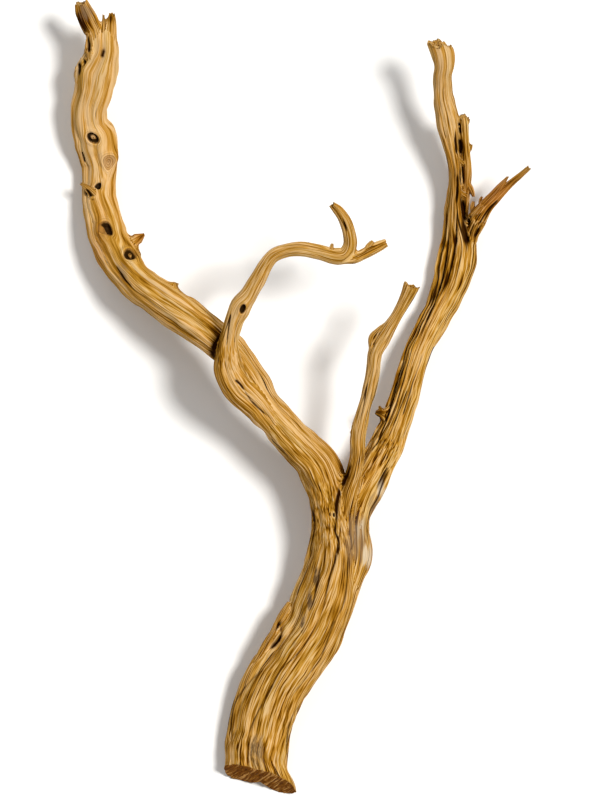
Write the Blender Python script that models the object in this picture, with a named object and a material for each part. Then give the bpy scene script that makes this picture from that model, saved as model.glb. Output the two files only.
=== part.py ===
"""A branching piece of driftwood, one solid, lying on a level surface.

The trunk's sawn foot is at -Y and the limbs spread towards +Y, with the weathered show side up (+Z).
Each limb is a skin swept along a smooth line through hand-placed rings. The limbs are joined into one
body by a Boolean union, the knot holes are hollowed out of it, and the underside is worn flat where it
meets the surface. The origin is at the bottom centre of the finished piece.
"""

import math
import random

import bpy
import numpy as np

MM = 0.001

# The whole piece is about 598 mm long, 345 mm wide and 128 mm high, and the trunk is 49 mm across.
# A ring is (across, up, height, half width, half depth) in millimetres: across is X and up is Y from
# the middle of the piece, and height is Z of the limb's centre above the surface that it lies on.
TRUNK_AND_LEFT_LIMB = (
    (-29, -293, 13, 26, 18.5),
    (-31.5, -276, 13.6, 23.3, 19),
    (-30.5, -256, 15, 23.7, 20),
    (-27, -236, 18, 25.2, 20.5),
    (-17.5, -214, 22.5, 25.2, 21),
    (-3.5, -194, 26.5, 24.8, 21),
    (9, -175, 30, 24.3, 21),
    (17.3, -155, 34, 24, 21),
    (22.7, -137, 37, 23.3, 20.5),
    (25.7, -120, 40, 21.2, 20),
    (25, -101, 43, 17.5, 18.5),
    (23.2, -84, 46, 14.6, 17),
    (20.2, -66, 49, 16, 16),
    (13, -49, 52.5, 16.2, 15.5),
    (0, -35, 56, 14.6, 15),
    (-13, -21, 59, 13.8, 14.5),
    (-25.3, -5.2, 62, 12.5, 14),
    (-34.8, 12.4, 64.5, 12, 13.5),
    (-45, 27.5, 66, 12.2, 13.5),
    (-57.5, 40.3, 65, 13.2, 14),
    (-79.5, 58.2, 60, 14.1, 14.5),
    (-104.7, 76.2, 50.5, 14.4, 15),
    (-124.8, 92.4, 40, 14.4, 15),
    (-141, 115.6, 29, 14.8, 15.5),
    (-148.7, 141, 19.5, 14, 15.2),
    (-151.3, 154, 15.4, 13, 14.6),
    (-150.8, 166, 13.2, 13, 14.6),
    (-149.8, 177, 13.6, 14.2, 15),
    (-151.2, 187, 16.4, 16, 15.5),
    (-153.5, 197, 20.5, 16.6, 15.5),
    (-156.7, 204.5, 23.5, 15.2, 15),
    (-158.6, 210, 25.5, 13.8, 15),
    (-157, 220, 29, 14, 14.5),
    (-154.7, 232, 33, 14.8, 14.5),
    (-152.6, 245, 37, 16.4, 14.5),
    (-150.8, 250.5, 39, 16, 14),
    (-148.6, 257.5, 41.5, 13.6, 13.3),
    (-147.4, 264, 44, 12.4, 12.5),
    (-147.5, 272, 46.5, 11.6, 11),
    (-148.5, 279, 48, 9.2, 9),
)
RIGHT_LIMB = (
    (14, -185, 26, 9, 10),
    (27, -156, 32, 13.9, 14),
    (33, -135, 35, 14.4, 16),
    (39, -115, 38, 15.2, 17),
    (38, -98, 40, 13.7, 17),
    (41, -83, 41, 13.8, 16.5),
    (47.6, -68, 41, 14.3, 16),
    (55.2, -53.2, 40, 13.8, 15),
    (63.5, -36.3, 38, 12.7, 14),
    (71, -18.2, 35.5, 12.2, 13.5),
    (77.8, 0.8, 32, 11.2, 13),
    (83.8, 18.8, 29, 10.8, 12.7),
    (89.7, 37, 25, 10.8, 12.7),
    (97.6, 54.5, 20.5, 11.2, 13),
    (106.5, 72, 16.2, 12.2, 13.5),
    (113.3, 87, 13.6, 13.7, 13.8),
    (117.5, 102, 12.6, 15.2, 14),
    (120, 117, 13.6, 15, 14),
    (118, 132, 16.5, 11, 12.5),
    (117.2, 147, 20, 7.8, 11),
    (117.2, 162, 25, 6.2, 9.8),
    (116.3, 175, 30, 6, 9.2),
    (114, 188, 36, 6.6, 8.8),
    (111.3, 202, 42, 8, 8.4),
    (109, 215, 49, 8.6, 8.2),
    (107, 227, 56, 8, 7.8),
    (106.7, 241, 63, 7.2, 7.4),
    (107.4, 251, 70, 7.8, 7.2),
    (106.4, 259, 75, 8.6, 6.8),
    (104, 266, 78, 8.8, 6.2),
)
RAGGED_STRAND = (
    (121, 118, 15, 5.5, 6),
    (125.3, 138, 19, 3.6, 5.5),
    (125.8, 154, 23, 3.5, 5.5),
    (125.6, 170, 28, 3.7, 5.3),
    (124.2, 184, 34, 3.6, 5),
    (122.9, 198, 40, 3.7, 4.8),
    (122.4, 207, 44.5, 4.2, 4.4),
    (121.6, 212.5, 47, 4, 3.6),
)
CURLED_TWIG = (
    (-2, -34, 52, 6, 6),
    (-18.5, -21, 62, 8.6, 8.6),
    (-31.5, -4.5, 70, 11.2, 10),
    (-45.3, 8, 76, 11.6, 10),
    (-52.6, 21.5, 81, 10.8, 9.6),
    (-53.8, 35, 85, 9.2, 9),
    (-52.4, 47, 89, 7.8, 8),
    (-49.6, 58.2, 93, 7.1, 7.5),
    (-44.8, 68.7, 97, 8, 7.4),
    (-37.8, 78.4, 101, 7, 6.8),
    (-31.8, 89.4, 105, 6.2, 6.2),
    (-26.4, 99.4, 108, 5.6, 5.6),
    (-20.2, 107.4, 111, 5.8, 5.4),
    (-10.9, 111.2, 113, 5.4, 5.2),
    (0.3, 112.4, 114, 5.6, 5.2),
    (12.8, 110, 113, 5.6, 5.2),
    (24.6, 107, 112, 6, 5.3),
    (33.4, 107.6, 111.5, 6.2, 5.3),
    (37.3, 115.4, 113, 5.2, 4.8),
    (36.4, 124.8, 117, 4.9, 4.5),
    (33.3, 133.4, 121, 4.6, 4.3),
    (28.6, 140.4, 125, 3.9, 3.6),
    (23.8, 145, 128, 2.3, 2),
)
TWIG_FORK = (
    (28, 105.6, 111.5, 3.8, 3.6),
    (38.6, 105.4, 111, 4.2, 3.8),
    (46, 108.1, 109.5, 4.1, 3.5),
    (52.5, 111.6, 108, 4.3, 3.4),
    (58.7, 113.8, 106, 3.4, 2.6),
    (64.2, 116.6, 104.5, 2.3, 1.8),
)
MIDDLE_BRANCH = (
    (32.5, -105, 46, 4.5, 5),
    (33.2, -86, 51, 6, 7),
    (35.9, -70.5, 56, 6.9, 7.5),
    (40.6, -55.5, 61, 6.6, 7),
    (43, -41.3, 65, 5.6, 6.4),
    (43.3, -28.6, 69, 5.7, 6),
    (45.8, -15.2, 73, 5.9, 5.9),
    (49.4, -1.8, 77, 5.6, 5.7),
    (52.7, 11.5, 81, 5.5, 5.5),
    (54.9, 23.3, 84, 5.2, 5.2),
    (56.6, 35.2, 87, 5.8, 5.2),
    (61.9, 46.2, 90, 5.9, 5.2),
    (68.3, 56.6, 93, 5, 5),
    (74.5, 66.9, 95, 4.7, 4.8),
    (80, 77.2, 97, 5.4, 5),
    (83.6, 85.3, 99, 6.2, 5),
)
SPLINTERED_SPUR = (
    (122, 110, 15.5, 5, 6),
    (128.3, 125.5, 21, 6.6, 6.2),
    (134, 136.8, 27, 6.6, 5.8),
    (141, 146.2, 33, 5.3, 4.8),
    (148.8, 154.2, 39, 4.3, 4),
    (156.5, 161.2, 44, 3.2, 3.2),
    (164, 167.4, 49, 2.2, 2.3),
    (171.6, 174, 54, 1.3, 1.4),
)
BROKEN_HORN = (
    (-147.7, 262.5, 44, 6, 6),
    (-152.8, 273.6, 47, 7.4, 7),
    (-157.6, 282.4, 50, 7.9, 7.2),
    (-161.3, 290.6, 53, 6.9, 6.4),
    (-164, 297.6, 55, 4.9, 4.8),
)
TOP_SPLINTER = (
    (-143, 262, 45, 6, 5.5),
    (-142.2, 274, 48, 6, 4.8),
    (-141.6, 283, 50, 4, 3.6),
    (-141.6, 289, 51.5, 2.6, 2.2),
)
SHORT_STUBS = {
    "thorn_on_left_limb": (
        (-131, 114.5, 36, 7.5, 7),
        (-124.5, 120, 38.5, 5.6, 5),
        (-119.8, 122.8, 40, 3.2, 3),
        (-116.8, 124.6, 41, 1.5, 1.6),
    ),
    "swelling_on_left_limb": (
        (-101, 74, 52, 11, 11),
        (-97.4, 80.4, 53, 10, 10),
        (-94.8, 85.4, 53.5, 7.5, 7.5),
        (-93.2, 88.8, 54, 3.5, 3.5),
    ),
    "spike_in_hollow": (
        (-151, 152, 20, 3, 3.4),
        (-156, 157.5, 27.5, 2.4, 2.6),
        (-161.5, 161, 30, 1.8, 1.9),
        (-165, 162.6, 31, 0.8, 0.9),
    ),
    "second_top_splinter": (
        (-146.5, 272, 48, 3, 3),
        (-147.4, 282, 50.5, 2, 2.2),
        (-147.7, 289, 52, 1, 1.1),
    ),
    "trunk_knob": (
        (-3, -171, 31, 10, 9),
        (-9.4, -166, 32, 7.6, 7.5),
        (-12.6, -163, 32, 5, 5),
        (-14.2, -161.6, 32, 2.2, 2.2),
    ),
    "stub_on_right_limb": (
        (72, -15, 36, 4.6, 4.4),
        (64, -10.5, 38.5, 3.6, 3.3),
        (60, -9.5, 39.5, 2.9, 2.6),
        (56.6, -11.2, 40, 1.3, 1.2),
    ),
    "nub_on_middle_branch": (
        (60, 38, 88.5, 4.4, 4.2),
        (55.6, 42.5, 89, 3.6, 3.4),
        (52.8, 46.6, 89.5, 1.8, 1.8),
    ),
}

# A knot hole is (across, up, radius across, radius along, depth) in millimetres, on the upper side.
KNOT_HOLES = {
    TRUNK_AND_LEFT_LIMB: (
        (-154, 197.5, 3.6, 3.8, 5.5),
        (-151, 160.5, 3.4, 3.2, 4.5),
        (-144.5, 130.5, 3.7, 6, 6.5),
        (-126.3, 110.6, 3.1, 3.2, 3.5),
        (-17, -177, 2.6, 9, 7),
    ),
    RIGHT_LIMB: ((126, 121, 2.2, 3.4, 5),),
    CURLED_TWIG: ((-42.4, 67.5, 1.5, 2.8, 3.5),),
}

GROOVE_COUNTS = (3, 5, 8)
GROOVE_SHARES = (0.45, 0.35, 0.3)
GROOVE_WANDER = (90.0, 60.0, 45.0)
GROOVE_LEAN = 1.6
SMALLEST_FLUTED_RADIUS = 3.0
GROOVE_SHARE_OF_RADIUS = 0.115
GROOVE_CREST = 1.6
RAGGED_TEETH = (2, 3, 5)
RAGGED_SHARES = (0.5, 0.3, 0.35)
RAGGED_HOLLOW = 0.25
STEPS_PER_SPAN = 24
CAP_LOOPS = 2
STEEPEST_HOLE = 0.95
HOLE_SIDES = 10
HOLE_RINGS = 6

# The foot is sawn off on a slant. Its plane passes through this point and faces this way.
FOOT_CUT_POINT = (-30.0, -287.0, 14.0)
FOOT_CUT_NORMAL = (-0.25, -0.88, 0.4)
FOOT_CUT_FADE = 45.0
UNDERSIDE_GUTTER_DEPTH = 12.0
UNDERSIDE_GUTTER_REACH = 90.0
UNDERSIDE_GUTTER_WIDTH = math.radians(29)
WORN_AWAY_BELOW = 1.5

WOOD_COLOUR = (0.56, 0.36, 0.14, 1.0)
WOOD_ROUGHNESS = 0.72


def clear_scene():
    for obj in list(bpy.data.objects):
        bpy.data.objects.remove(obj)


def smooth_line(rings, step):
    """The rings' values read at even steps along a Catmull-Rom curve through them, and the distance along."""
    points = np.array(rings, float)
    padded = np.vstack([2 * points[0] - points[1], points, 2 * points[-1] - points[-2]])
    dense = []
    for i in range(len(points) - 1):
        a, b, c, d = padded[i : i + 4]
        for t in np.arange(STEPS_PER_SPAN) / STEPS_PER_SPAN:
            dense.append(
                0.5
                * (
                    2 * b
                    + (c - a) * t
                    + (2 * a - 5 * b + 4 * c - d) * t**2
                    + (3 * b - a - 3 * c + d) * t**3
                )
            )
    dense = np.array(dense + [points[-1]])
    reach = np.concatenate([[0], np.cumsum(np.linalg.norm(np.diff(dense[:, :3], axis=0), axis=1))])
    count = max(3, round(reach[-1] / step) + 1)
    along = np.linspace(0, reach[-1], count)
    return np.column_stack([np.interp(along, reach, column) for column in dense.T]), along


def ring_frames(centres):
    """Directions along the limb, across it and up out of it, at every centre."""
    forward = np.gradient(centres, axis=0)
    forward /= np.linalg.norm(forward, axis=1)[:, None]
    upward = np.array([0.0, 0.0, 1.0]) - forward[:, 2:3] * forward
    upward /= np.linalg.norm(upward, axis=1)[:, None]
    return forward, np.cross(forward, upward), upward


def groove_relief(name, turn, along):
    """Round-backed flutes and the sharp grooves between them, which wander along the limb."""
    draw = random.Random(name)
    relief = 0.0
    for count, share, wander in zip(GROOVE_COUNTS, GROOVE_SHARES, GROOVE_WANDER):
        phase, drift = draw.uniform(0, 2 * math.pi), draw.uniform(0, 2 * math.pi)
        lean = GROOVE_LEAN * np.sin(along / wander + drift)
        relief = relief + share * (2 * np.abs(np.sin((count * turn + phase + lean) / 2)) - GROOVE_CREST)
    return relief


def ragged_edge(name, turn, depth, slant):
    """How far a broken end stands out beyond its last ring at each turn, in millimetres."""
    draw = random.Random(name + " end")
    edge = -slant * np.cos(turn)
    for teeth, share in zip(RAGGED_TEETH, RAGGED_SHARES):
        edge += depth * share * np.sin(teeth * turn + draw.uniform(0, 2 * math.pi))
    return edge


def limb_points(name, rings, sides, step, ragged=0.0, slant=0.0):
    """The skin of a limb in millimetres, as rings by sides, with each ring's direction and distance along."""
    stations, along = smooth_line(rings, step)
    centres, half_width, half_depth = stations[:, :3], stations[:, 3], stations[:, 4]
    forward, across, upward = ring_frames(centres)
    turn = 2 * math.pi * np.arange(sides) / sides
    turns, distance = np.meshgrid(turn, along)
    radius = np.minimum(half_width, half_depth)[:, None]
    fluted = np.clip(radius / SMALLEST_FLUTED_RADIUS - 1, 0, 1)
    relief = groove_relief(name, turns, distance) * GROOVE_SHARE_OF_RADIUS * radius * fluted
    if rings is TRUNK_AND_LEFT_LIMB:
        below = np.exp(-(((turns - 1.5 * math.pi) / UNDERSIDE_GUTTER_WIDTH) ** 2))
        relief -= UNDERSIDE_GUTTER_DEPTH * below * np.clip(1 - distance / UNDERSIDE_GUTTER_REACH, 0, 1)
    sideways = (half_width[:, None] + relief) * np.cos(turns)
    outward = (half_depth[:, None] + relief) * np.sin(turns)
    skin = (
        centres[:, None, :]
        + sideways[:, :, None] * across[:, None, :]
        + outward[:, :, None] * upward[:, None, :]
    )
    if ragged:
        skin[-1] += ragged_edge(name, turn, ragged, slant)[:, None] * forward[-1]
    return skin, forward, along


def slant_foot(skin, forward, along):
    """Slides the trunk's first rings along the grain until its end lies in the sawn plane."""
    normal = np.array(FOOT_CUT_NORMAL)
    gap = (np.array(FOOT_CUT_POINT) - skin[0]) @ normal / (forward[0] @ normal)
    fade = np.clip(1 - along / FOOT_CUT_FADE, 0, 1)
    skin += (fade[:, None] * gap[None, :])[:, :, None] * forward[0]


def end_loops(rim, inward):
    """Loops that close an end, shrinking from its rim to its middle."""
    middle = rim.mean(axis=0)
    return [middle + (rim - middle) * (1 - k / (CAP_LOOPS + 1)) + inward * k for k in range(1, CAP_LOOPS + 1)]


def limb_object(name, rings, sides, step, ragged=0.0, slant=0.0):
    """One closed limb as a mesh object."""
    skin, forward, along = limb_points(name, rings, sides, step, ragged, slant)
    foot = rings is TRUNK_AND_LEFT_LIMB
    if foot:
        slant_foot(skin, forward, along)
    hollow = RAGGED_HOLLOW * ragged
    start_loops = end_loops(skin[0], 0 * forward[0])[::-1]
    finish_loops = end_loops(skin[-1], -hollow * forward[-1])
    loops = start_loops + list(skin) + finish_loops
    points = np.vstack(loops + [skin[0].mean(axis=0), skin[-1].mean(axis=0) - hollow * forward[-1]])
    faces = []
    for i in range(len(loops) - 1):
        for j in range(sides):
            k = (j + 1) % sides
            faces.append((i * sides + j, (i + 1) * sides + j, (i + 1) * sides + k, i * sides + k))
    last = (len(loops) - 1) * sides
    first_middle, last_middle = len(points) - 2, len(points) - 1
    for j in range(sides):
        k = (j + 1) % sides
        faces.append((first_middle, j, k))
        faces.append((last_middle, last + k, last + j))
    mesh = bpy.data.meshes.new(name)
    mesh.from_pydata((points * MM).tolist(), [], faces)
    mesh.validate()
    return bpy.data.objects.new(name, mesh)


def knot_cutter(name, rings, across, up, half_width, half_length, depth):
    """An egg-shaped cutter half sunk into the upper side of a limb, its long axis with the grain."""
    stations, _ = smooth_line(rings, 2.0)
    forward, sideways, upward = ring_frames(stations[:, :3])
    crest = stations[:, :2] + stations[:, 4:5] * upward[:, :2]
    nearest = int(np.argmin(np.hypot(crest[:, 0] - across, crest[:, 1] - up)))
    offset = np.array([across, up]) - crest[nearest]
    lean = float(offset @ sideways[nearest, :2] / stations[nearest, 3])
    lean = max(-STEEPEST_HOLE, min(STEEPEST_HOLE, lean))
    rise = math.sqrt(1 - lean * lean)
    out = lean * sideways[nearest] + rise * upward[nearest]
    surface = (
        stations[nearest, :3]
        + lean * stations[nearest, 3] * sideways[nearest]
        + rise * stations[nearest, 4] * upward[nearest]
    )
    side = np.cross(forward[nearest], out)
    points, faces = [surface + depth * out], []
    for i in range(1, HOLE_RINGS):
        polar = math.pi * i / HOLE_RINGS
        for j in range(HOLE_SIDES):
            turn = 2 * math.pi * j / HOLE_SIDES
            level = math.sin(polar)
            points.append(
                surface
                + half_width * level * math.cos(turn) * side
                + half_length * level * math.sin(turn) * forward[nearest]
                + depth * math.cos(polar) * out
            )
    points.append(surface - depth * out)
    for j in range(HOLE_SIDES):
        k = (j + 1) % HOLE_SIDES
        faces.append((0, 1 + j, 1 + k))
        for i in range(HOLE_RINGS - 2):
            a, b = 1 + i * HOLE_SIDES, 1 + (i + 1) * HOLE_SIDES
            faces.append((a + j, b + j, b + k, a + k))
        base = 1 + (HOLE_RINGS - 2) * HOLE_SIDES
        faces.append((len(points) - 1, base + k, base + j))
    mesh = bpy.data.meshes.new(name)
    mesh.from_pydata([tuple(p * MM) for p in points], [], faces)
    return bpy.data.objects.new(name, mesh)


def apply_boolean(body, operation, others):
    """Joins or cuts the body with every object of a helper collection, then clears the helpers away."""
    helpers = bpy.data.collections.new(operation.lower())
    bpy.context.scene.collection.children.link(helpers)
    for obj in others:
        helpers.objects.link(obj)
    boolean = body.modifiers.new(operation.lower(), "BOOLEAN")
    boolean.operation = operation
    boolean.operand_type = "COLLECTION"
    boolean.collection = helpers
    boolean.solver = "EXACT"
    bpy.context.view_layer.update()
    graph = bpy.context.evaluated_depsgraph_get()
    joined = bpy.data.meshes.new_from_object(body.evaluated_get(graph))
    body.modifiers.remove(boolean)
    body.data = joined
    for obj in others:
        bpy.data.objects.remove(obj)
    bpy.data.collections.remove(helpers)


def settle_on_surface(mesh):
    """Wears the underside flat at the surface and centres the piece over the origin."""
    points = np.empty(len(mesh.vertices) * 3, np.float32)
    mesh.vertices.foreach_get("co", points)
    points = points.reshape(-1, 3)
    points[:, 2] = np.maximum(points[:, 2] - WORN_AWAY_BELOW * MM, 0)
    points[:, :2] -= (points[:, :2].min(axis=0) + points[:, :2].max(axis=0)) / 2
    mesh.vertices.foreach_set("co", points.ravel())
    mesh.update()


def wood_material():
    material = bpy.data.materials.new("bare_weathered_wood")
    material.use_nodes = True
    shader = material.node_tree.nodes["Principled BSDF"]
    shader.inputs["Base Color"].default_value = WOOD_COLOUR
    shader.inputs["Roughness"].default_value = WOOD_ROUGHNESS
    shader.inputs["Metallic"].default_value = 0.0
    return material


def main():
    clear_scene()
    body = limb_object("driftwood", TRUNK_AND_LEFT_LIMB, sides=32, step=9.5)
    bpy.context.scene.collection.objects.link(body)
    limbs = [
        limb_object("right_limb", RIGHT_LIMB, sides=26, step=9.5, ragged=3.0, slant=4.5),
        limb_object("ragged_strand", RAGGED_STRAND, sides=9, step=9, ragged=2.0),
        limb_object("curled_twig", CURLED_TWIG, sides=15, step=7, ragged=0.8),
        limb_object("twig_fork", TWIG_FORK, sides=9, step=6),
        limb_object("middle_branch", MIDDLE_BRANCH, sides=13, step=8.5, ragged=1.6),
        limb_object("splintered_spur", SPLINTERED_SPUR, sides=9, step=9, ragged=1.0),
        limb_object("broken_horn", BROKEN_HORN, sides=13, step=7, ragged=1.6),
        limb_object("top_splinter", TOP_SPLINTER, sides=9, step=6, ragged=2.0),
    ]
    limbs += [limb_object(name, rings, sides=8, step=4) for name, rings in SHORT_STUBS.items()]
    apply_boolean(body, "UNION", limbs)
    cutters = []
    for rings, holes in KNOT_HOLES.items():
        for hole in holes:
            cutters.append(knot_cutter(f"knot_hole_{len(cutters)}", rings, *hole))
    apply_boolean(body, "DIFFERENCE", cutters)
    settle_on_surface(body.data)
    body.data.materials.clear()
    body.data.materials.append(wood_material())
    body.data.shade_smooth()
    body.data.set_sharp_from_angle(angle=math.radians(45))


main()
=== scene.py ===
import itertools
import math
import random

import bmesh
import bpy
import numpy as np
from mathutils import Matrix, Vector


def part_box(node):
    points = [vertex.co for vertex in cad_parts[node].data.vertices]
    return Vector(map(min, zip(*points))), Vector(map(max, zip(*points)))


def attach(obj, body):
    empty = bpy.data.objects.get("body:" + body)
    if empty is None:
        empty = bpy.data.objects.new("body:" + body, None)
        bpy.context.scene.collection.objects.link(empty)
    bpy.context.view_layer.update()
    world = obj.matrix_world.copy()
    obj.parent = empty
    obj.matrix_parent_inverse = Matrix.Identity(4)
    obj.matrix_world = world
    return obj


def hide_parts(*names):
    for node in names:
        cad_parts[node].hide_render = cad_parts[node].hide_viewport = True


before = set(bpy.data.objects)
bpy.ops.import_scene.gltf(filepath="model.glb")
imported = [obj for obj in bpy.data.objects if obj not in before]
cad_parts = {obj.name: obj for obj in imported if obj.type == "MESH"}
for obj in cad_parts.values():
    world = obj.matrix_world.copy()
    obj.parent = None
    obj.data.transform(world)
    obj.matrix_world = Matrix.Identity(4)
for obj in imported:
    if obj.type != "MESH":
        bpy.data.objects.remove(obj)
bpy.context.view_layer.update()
woodLow, woodHigh = (np.array(corner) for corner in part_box("driftwood"))
print("frame loaded, the driftwood is", (1000 * (woodHigh - woodLow)).round(1), "mm")

# Every limb is a skin swept along a smooth line. A ring is (across, up, height, half width, half depth)
# in millimetres, seen from above: across is X and up is Y from the middle of the piece, and height is
# the centre of the limb above the surface.
# sides and step set how fine the skin is, ragged and slant shape the broken end in millimetres, ridges is
# how deeply the weather has cut between the fibres, and cracks is how many of them have opened.

trunkAndLeftLimb = {
    "seed": "driftwood", "joint": 0, "sides": 130, "step": 2.5, "ragged": 1.2, "slant": 0.0,
    "ridges": (0.6, 0.55, 0.45, 0.3, 0.3), "cracks": (0.6, 0.4, 0.3, 0.2, 0.1),
    "rings": (
        (-29, -293, 13, 26, 18.5), (-31.5, -276, 13.6, 23.3, 19), (-30.5, -256, 15, 23.7, 20),
        (-27, -236, 18, 25.2, 20.5), (-17.5, -214, 22.5, 25.2, 21), (-3.5, -194, 26.5, 24.8, 21),
        (9, -175, 30, 24.3, 21), (17.3, -155, 34, 24, 21), (22.7, -137, 37, 23.3, 20.5),
        (25.7, -120, 40, 21.2, 20), (25, -101, 43, 17.5, 18.5), (23.2, -84, 46, 14.6, 17),
        (20.2, -66, 49, 16, 16), (13, -49, 52.5, 16.2, 15.5), (0, -35, 56, 14.6, 15),
        (-13, -21, 59, 13.8, 14.5), (-25.3, -5.2, 62, 12.5, 14), (-34.8, 12.4, 64.5, 12, 13.5),
        (-45, 27.5, 66, 12.2, 13.5), (-57.5, 40.3, 65, 13.2, 14), (-79.5, 58.2, 60, 14.1, 14.5),
        (-104.7, 76.2, 50.5, 14.4, 15), (-124.8, 92.4, 40, 14.4, 15), (-141, 115.6, 29, 14.8, 15.5),
        (-148.7, 141, 19.5, 14, 15.2), (-151.3, 154, 15.4, 13, 14.6), (-150.8, 166, 13.2, 13, 14.6),
        (-149.8, 177, 13.6, 14.2, 15), (-151.2, 187, 16.4, 16, 15.5), (-153.5, 197, 20.5, 16.6, 15.5),
        (-156.4, 204.5, 23.5, 14.8, 15), (-157.6, 210.5, 25.5, 13.8, 15), (-157.3, 220, 29, 14, 14.5),
        (-154.7, 232, 33, 14.8, 14.5), (-152.6, 245, 37, 16.4, 14.5), (-150.8, 250.5, 39, 16, 14),
        (-148.6, 257.5, 41.5, 13.6, 13.3), (-147.4, 264, 44, 12.4, 12.5), (-147.5, 272, 44.6, 11.6, 11),
        (-147, 277.6, 43.4, 9.6, 9), (-146.6, 281, 42.4, 6.4, 6), (-146.4, 283.4, 42, 3.4, 3.2),
    ),
}
rightLimb = {
    "seed": "right_limb", "joint": 12, "sides": 100, "step": 2.3, "ragged": 3.0, "slant": 4.5,
    "ridges": (0.5, 1.0, 1.3, 1.0, 0.2), "cracks": (0.1, 0.9, 1.5, 1.0, 0.1),
    "rings": (
        (14, -185, 26, 9, 10), (27, -156, 32, 13.9, 14), (33, -135, 35, 14.4, 16), (39, -115, 38, 15.2, 17),
        (38, -98, 40, 13.7, 17), (41, -83, 41, 13.8, 16.5), (47.6, -68, 41, 14.3, 16),
        (55.2, -53.2, 40, 13.8, 15), (63.5, -36.3, 38, 12.7, 14), (71, -18.2, 35.5, 12.2, 13.5),
        (77.8, 0.8, 32, 11.2, 13), (83.8, 18.8, 29, 10.8, 12.7), (89.7, 37, 25, 10.8, 12.7),
        (97.6, 54.5, 20.5, 11.2, 13), (106.5, 72, 16.2, 12.2, 13.5), (113.3, 87, 13.6, 13.7, 13.8),
        (117.5, 102, 12.6, 15.2, 14), (120, 117, 13.6, 15, 14), (118, 132, 16.5, 11, 12.5),
        (117.2, 147, 20, 7.8, 11), (117.2, 162, 25, 6.2, 9.8), (116.3, 175, 30, 6, 9.2),
        (114, 188, 36, 6.6, 8.8), (111.3, 202, 42, 8, 8.4), (109, 215, 49, 8.6, 8.2), (107, 227, 56, 8, 7.8),
        (106.7, 241, 63, 7.2, 7.4), (107.4, 251, 70, 7.8, 7.2), (106.4, 259, 75, 8.6, 6.8),
        (104, 266, 78, 8.8, 6.2),
    ),
}
raggedStrand = {
    "seed": "ragged_strand", "joint": 4, "sides": 34, "step": 1.8, "ragged": 2.0, "slant": 0.0,
    "ridges": (1.0, 1.0), "cracks": (1.0, 1.0),
    "rings": (
        (118.6, 118, 15, 5, 6), (123.4, 137, 19, 2.6, 5), (124.6, 153, 23, 3, 5.3),
        (125.4, 170, 28, 3.7, 5.3), (124.2, 184, 34, 3.6, 5), (122.9, 198, 40, 3.7, 4.8),
        (122.4, 207, 44.5, 4.2, 4.4), (121.6, 212.5, 47, 4, 3.6),
    ),
}
curledTwig = {
    "seed": "curled_twig", "joint": 8, "sides": 56, "step": 1.8, "ragged": 0.8, "slant": 0.0,
    "ridges": (0.35, 0.4, 0.7), "cracks": (0.0, 0.2, 0.5),
    "rings": (
        (-2, -34, 52, 6, 6), (-18.5, -21, 62, 8.6, 8.6), (-31.5, -4.5, 70, 11.2, 10),
        (-45.3, 8, 76, 11.6, 10), (-52.6, 21.5, 81, 10.8, 9.6), (-53.8, 35, 85, 9.2, 9),
        (-52.4, 47, 89, 7.8, 8), (-49.6, 58.2, 93, 7.1, 7.5), (-44.8, 68.7, 97, 8, 7.4),
        (-37.8, 78.4, 101, 7, 6.8), (-31.8, 89.4, 105, 6.2, 6.2), (-26.4, 99.4, 108, 5.6, 5.6),
        (-20.2, 107.4, 111, 5.8, 5.4), (-10.9, 111.2, 113, 5.4, 5.2), (0.3, 112.4, 114, 5.6, 5.2),
        (12.8, 110, 113, 5.6, 5.2), (24.6, 107, 112, 6, 5.3), (33.4, 107.6, 111.5, 6.2, 5.3),
        (37.3, 115.4, 113, 5.2, 4.8), (36.4, 124.8, 117, 4.9, 4.5), (33.3, 133.4, 121, 4.6, 4.3),
        (28.6, 140.4, 125, 3.9, 3.6), (23.8, 145, 128, 2.3, 2),
    ),
}
twigFork = {
    "seed": "twig_fork", "joint": 3.5, "sides": 30, "step": 1.5, "ragged": 0.6, "slant": 0.0,
    "ridges": (0.9, 1.0), "cracks": (0.6, 0.8),
    "rings": (
        (28, 105.6, 111.5, 3.8, 3.6), (38.6, 105.4, 111, 4.2, 3.8), (46, 108.1, 109.5, 4.1, 3.5),
        (52.5, 111.8, 108, 4.4, 3.5), (58.7, 114.6, 106, 3.9, 3.0), (64.2, 117.2, 104.5, 3.0, 2.4),
    ),
}
middleBranch = {
    "seed": "middle_branch", "joint": 6, "sides": 46, "step": 1.8, "ragged": 1.6, "slant": 0.0,
    "ridges": (0.6, 0.6), "cracks": (0.5, 0.5),
    "rings": (
        (32.5, -105, 46, 4.5, 5), (33.2, -86, 51, 6, 7), (35.9, -70.5, 56, 6.9, 7.5),
        (40.6, -55.5, 61, 6.6, 7), (43, -41.3, 65, 5.6, 6.4), (43.3, -28.6, 69, 5.7, 6),
        (45.8, -15.2, 73, 5.9, 5.9), (49.4, -1.8, 77, 5.6, 5.7), (52.7, 11.5, 81, 5.5, 5.5),
        (54.9, 23.3, 84, 5.2, 5.2), (56.6, 35.2, 87, 5.8, 5.2), (61.9, 46.2, 90, 5.9, 5.2),
        (68.3, 56.6, 93, 5, 5), (74.5, 66.9, 95, 4.7, 4.8), (80, 77.2, 97, 5.4, 5),
        (83.6, 85.3, 99, 6.2, 5),
    ),
}
splinteredSpur = {
    "seed": "splintered_spur", "joint": 5, "sides": 40, "step": 1.7, "ragged": 1.0, "slant": 0.0,
    "ridges": (1.0, 0.8), "cracks": (1.0, 1.0),
    "rings": (
        (122, 110, 15.5, 5, 6), (128.3, 125.5, 21, 6.6, 6.2), (134, 136.8, 27, 6.6, 5.8),
        (141, 146.2, 33, 5.3, 4.8), (148.8, 154.2, 39, 4.1, 4), (156.5, 161.2, 44, 2.8, 3),
        (164, 167.4, 49, 2.1, 2.3), (171.6, 174, 54, 1.6, 1.7),
    ),
}
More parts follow.
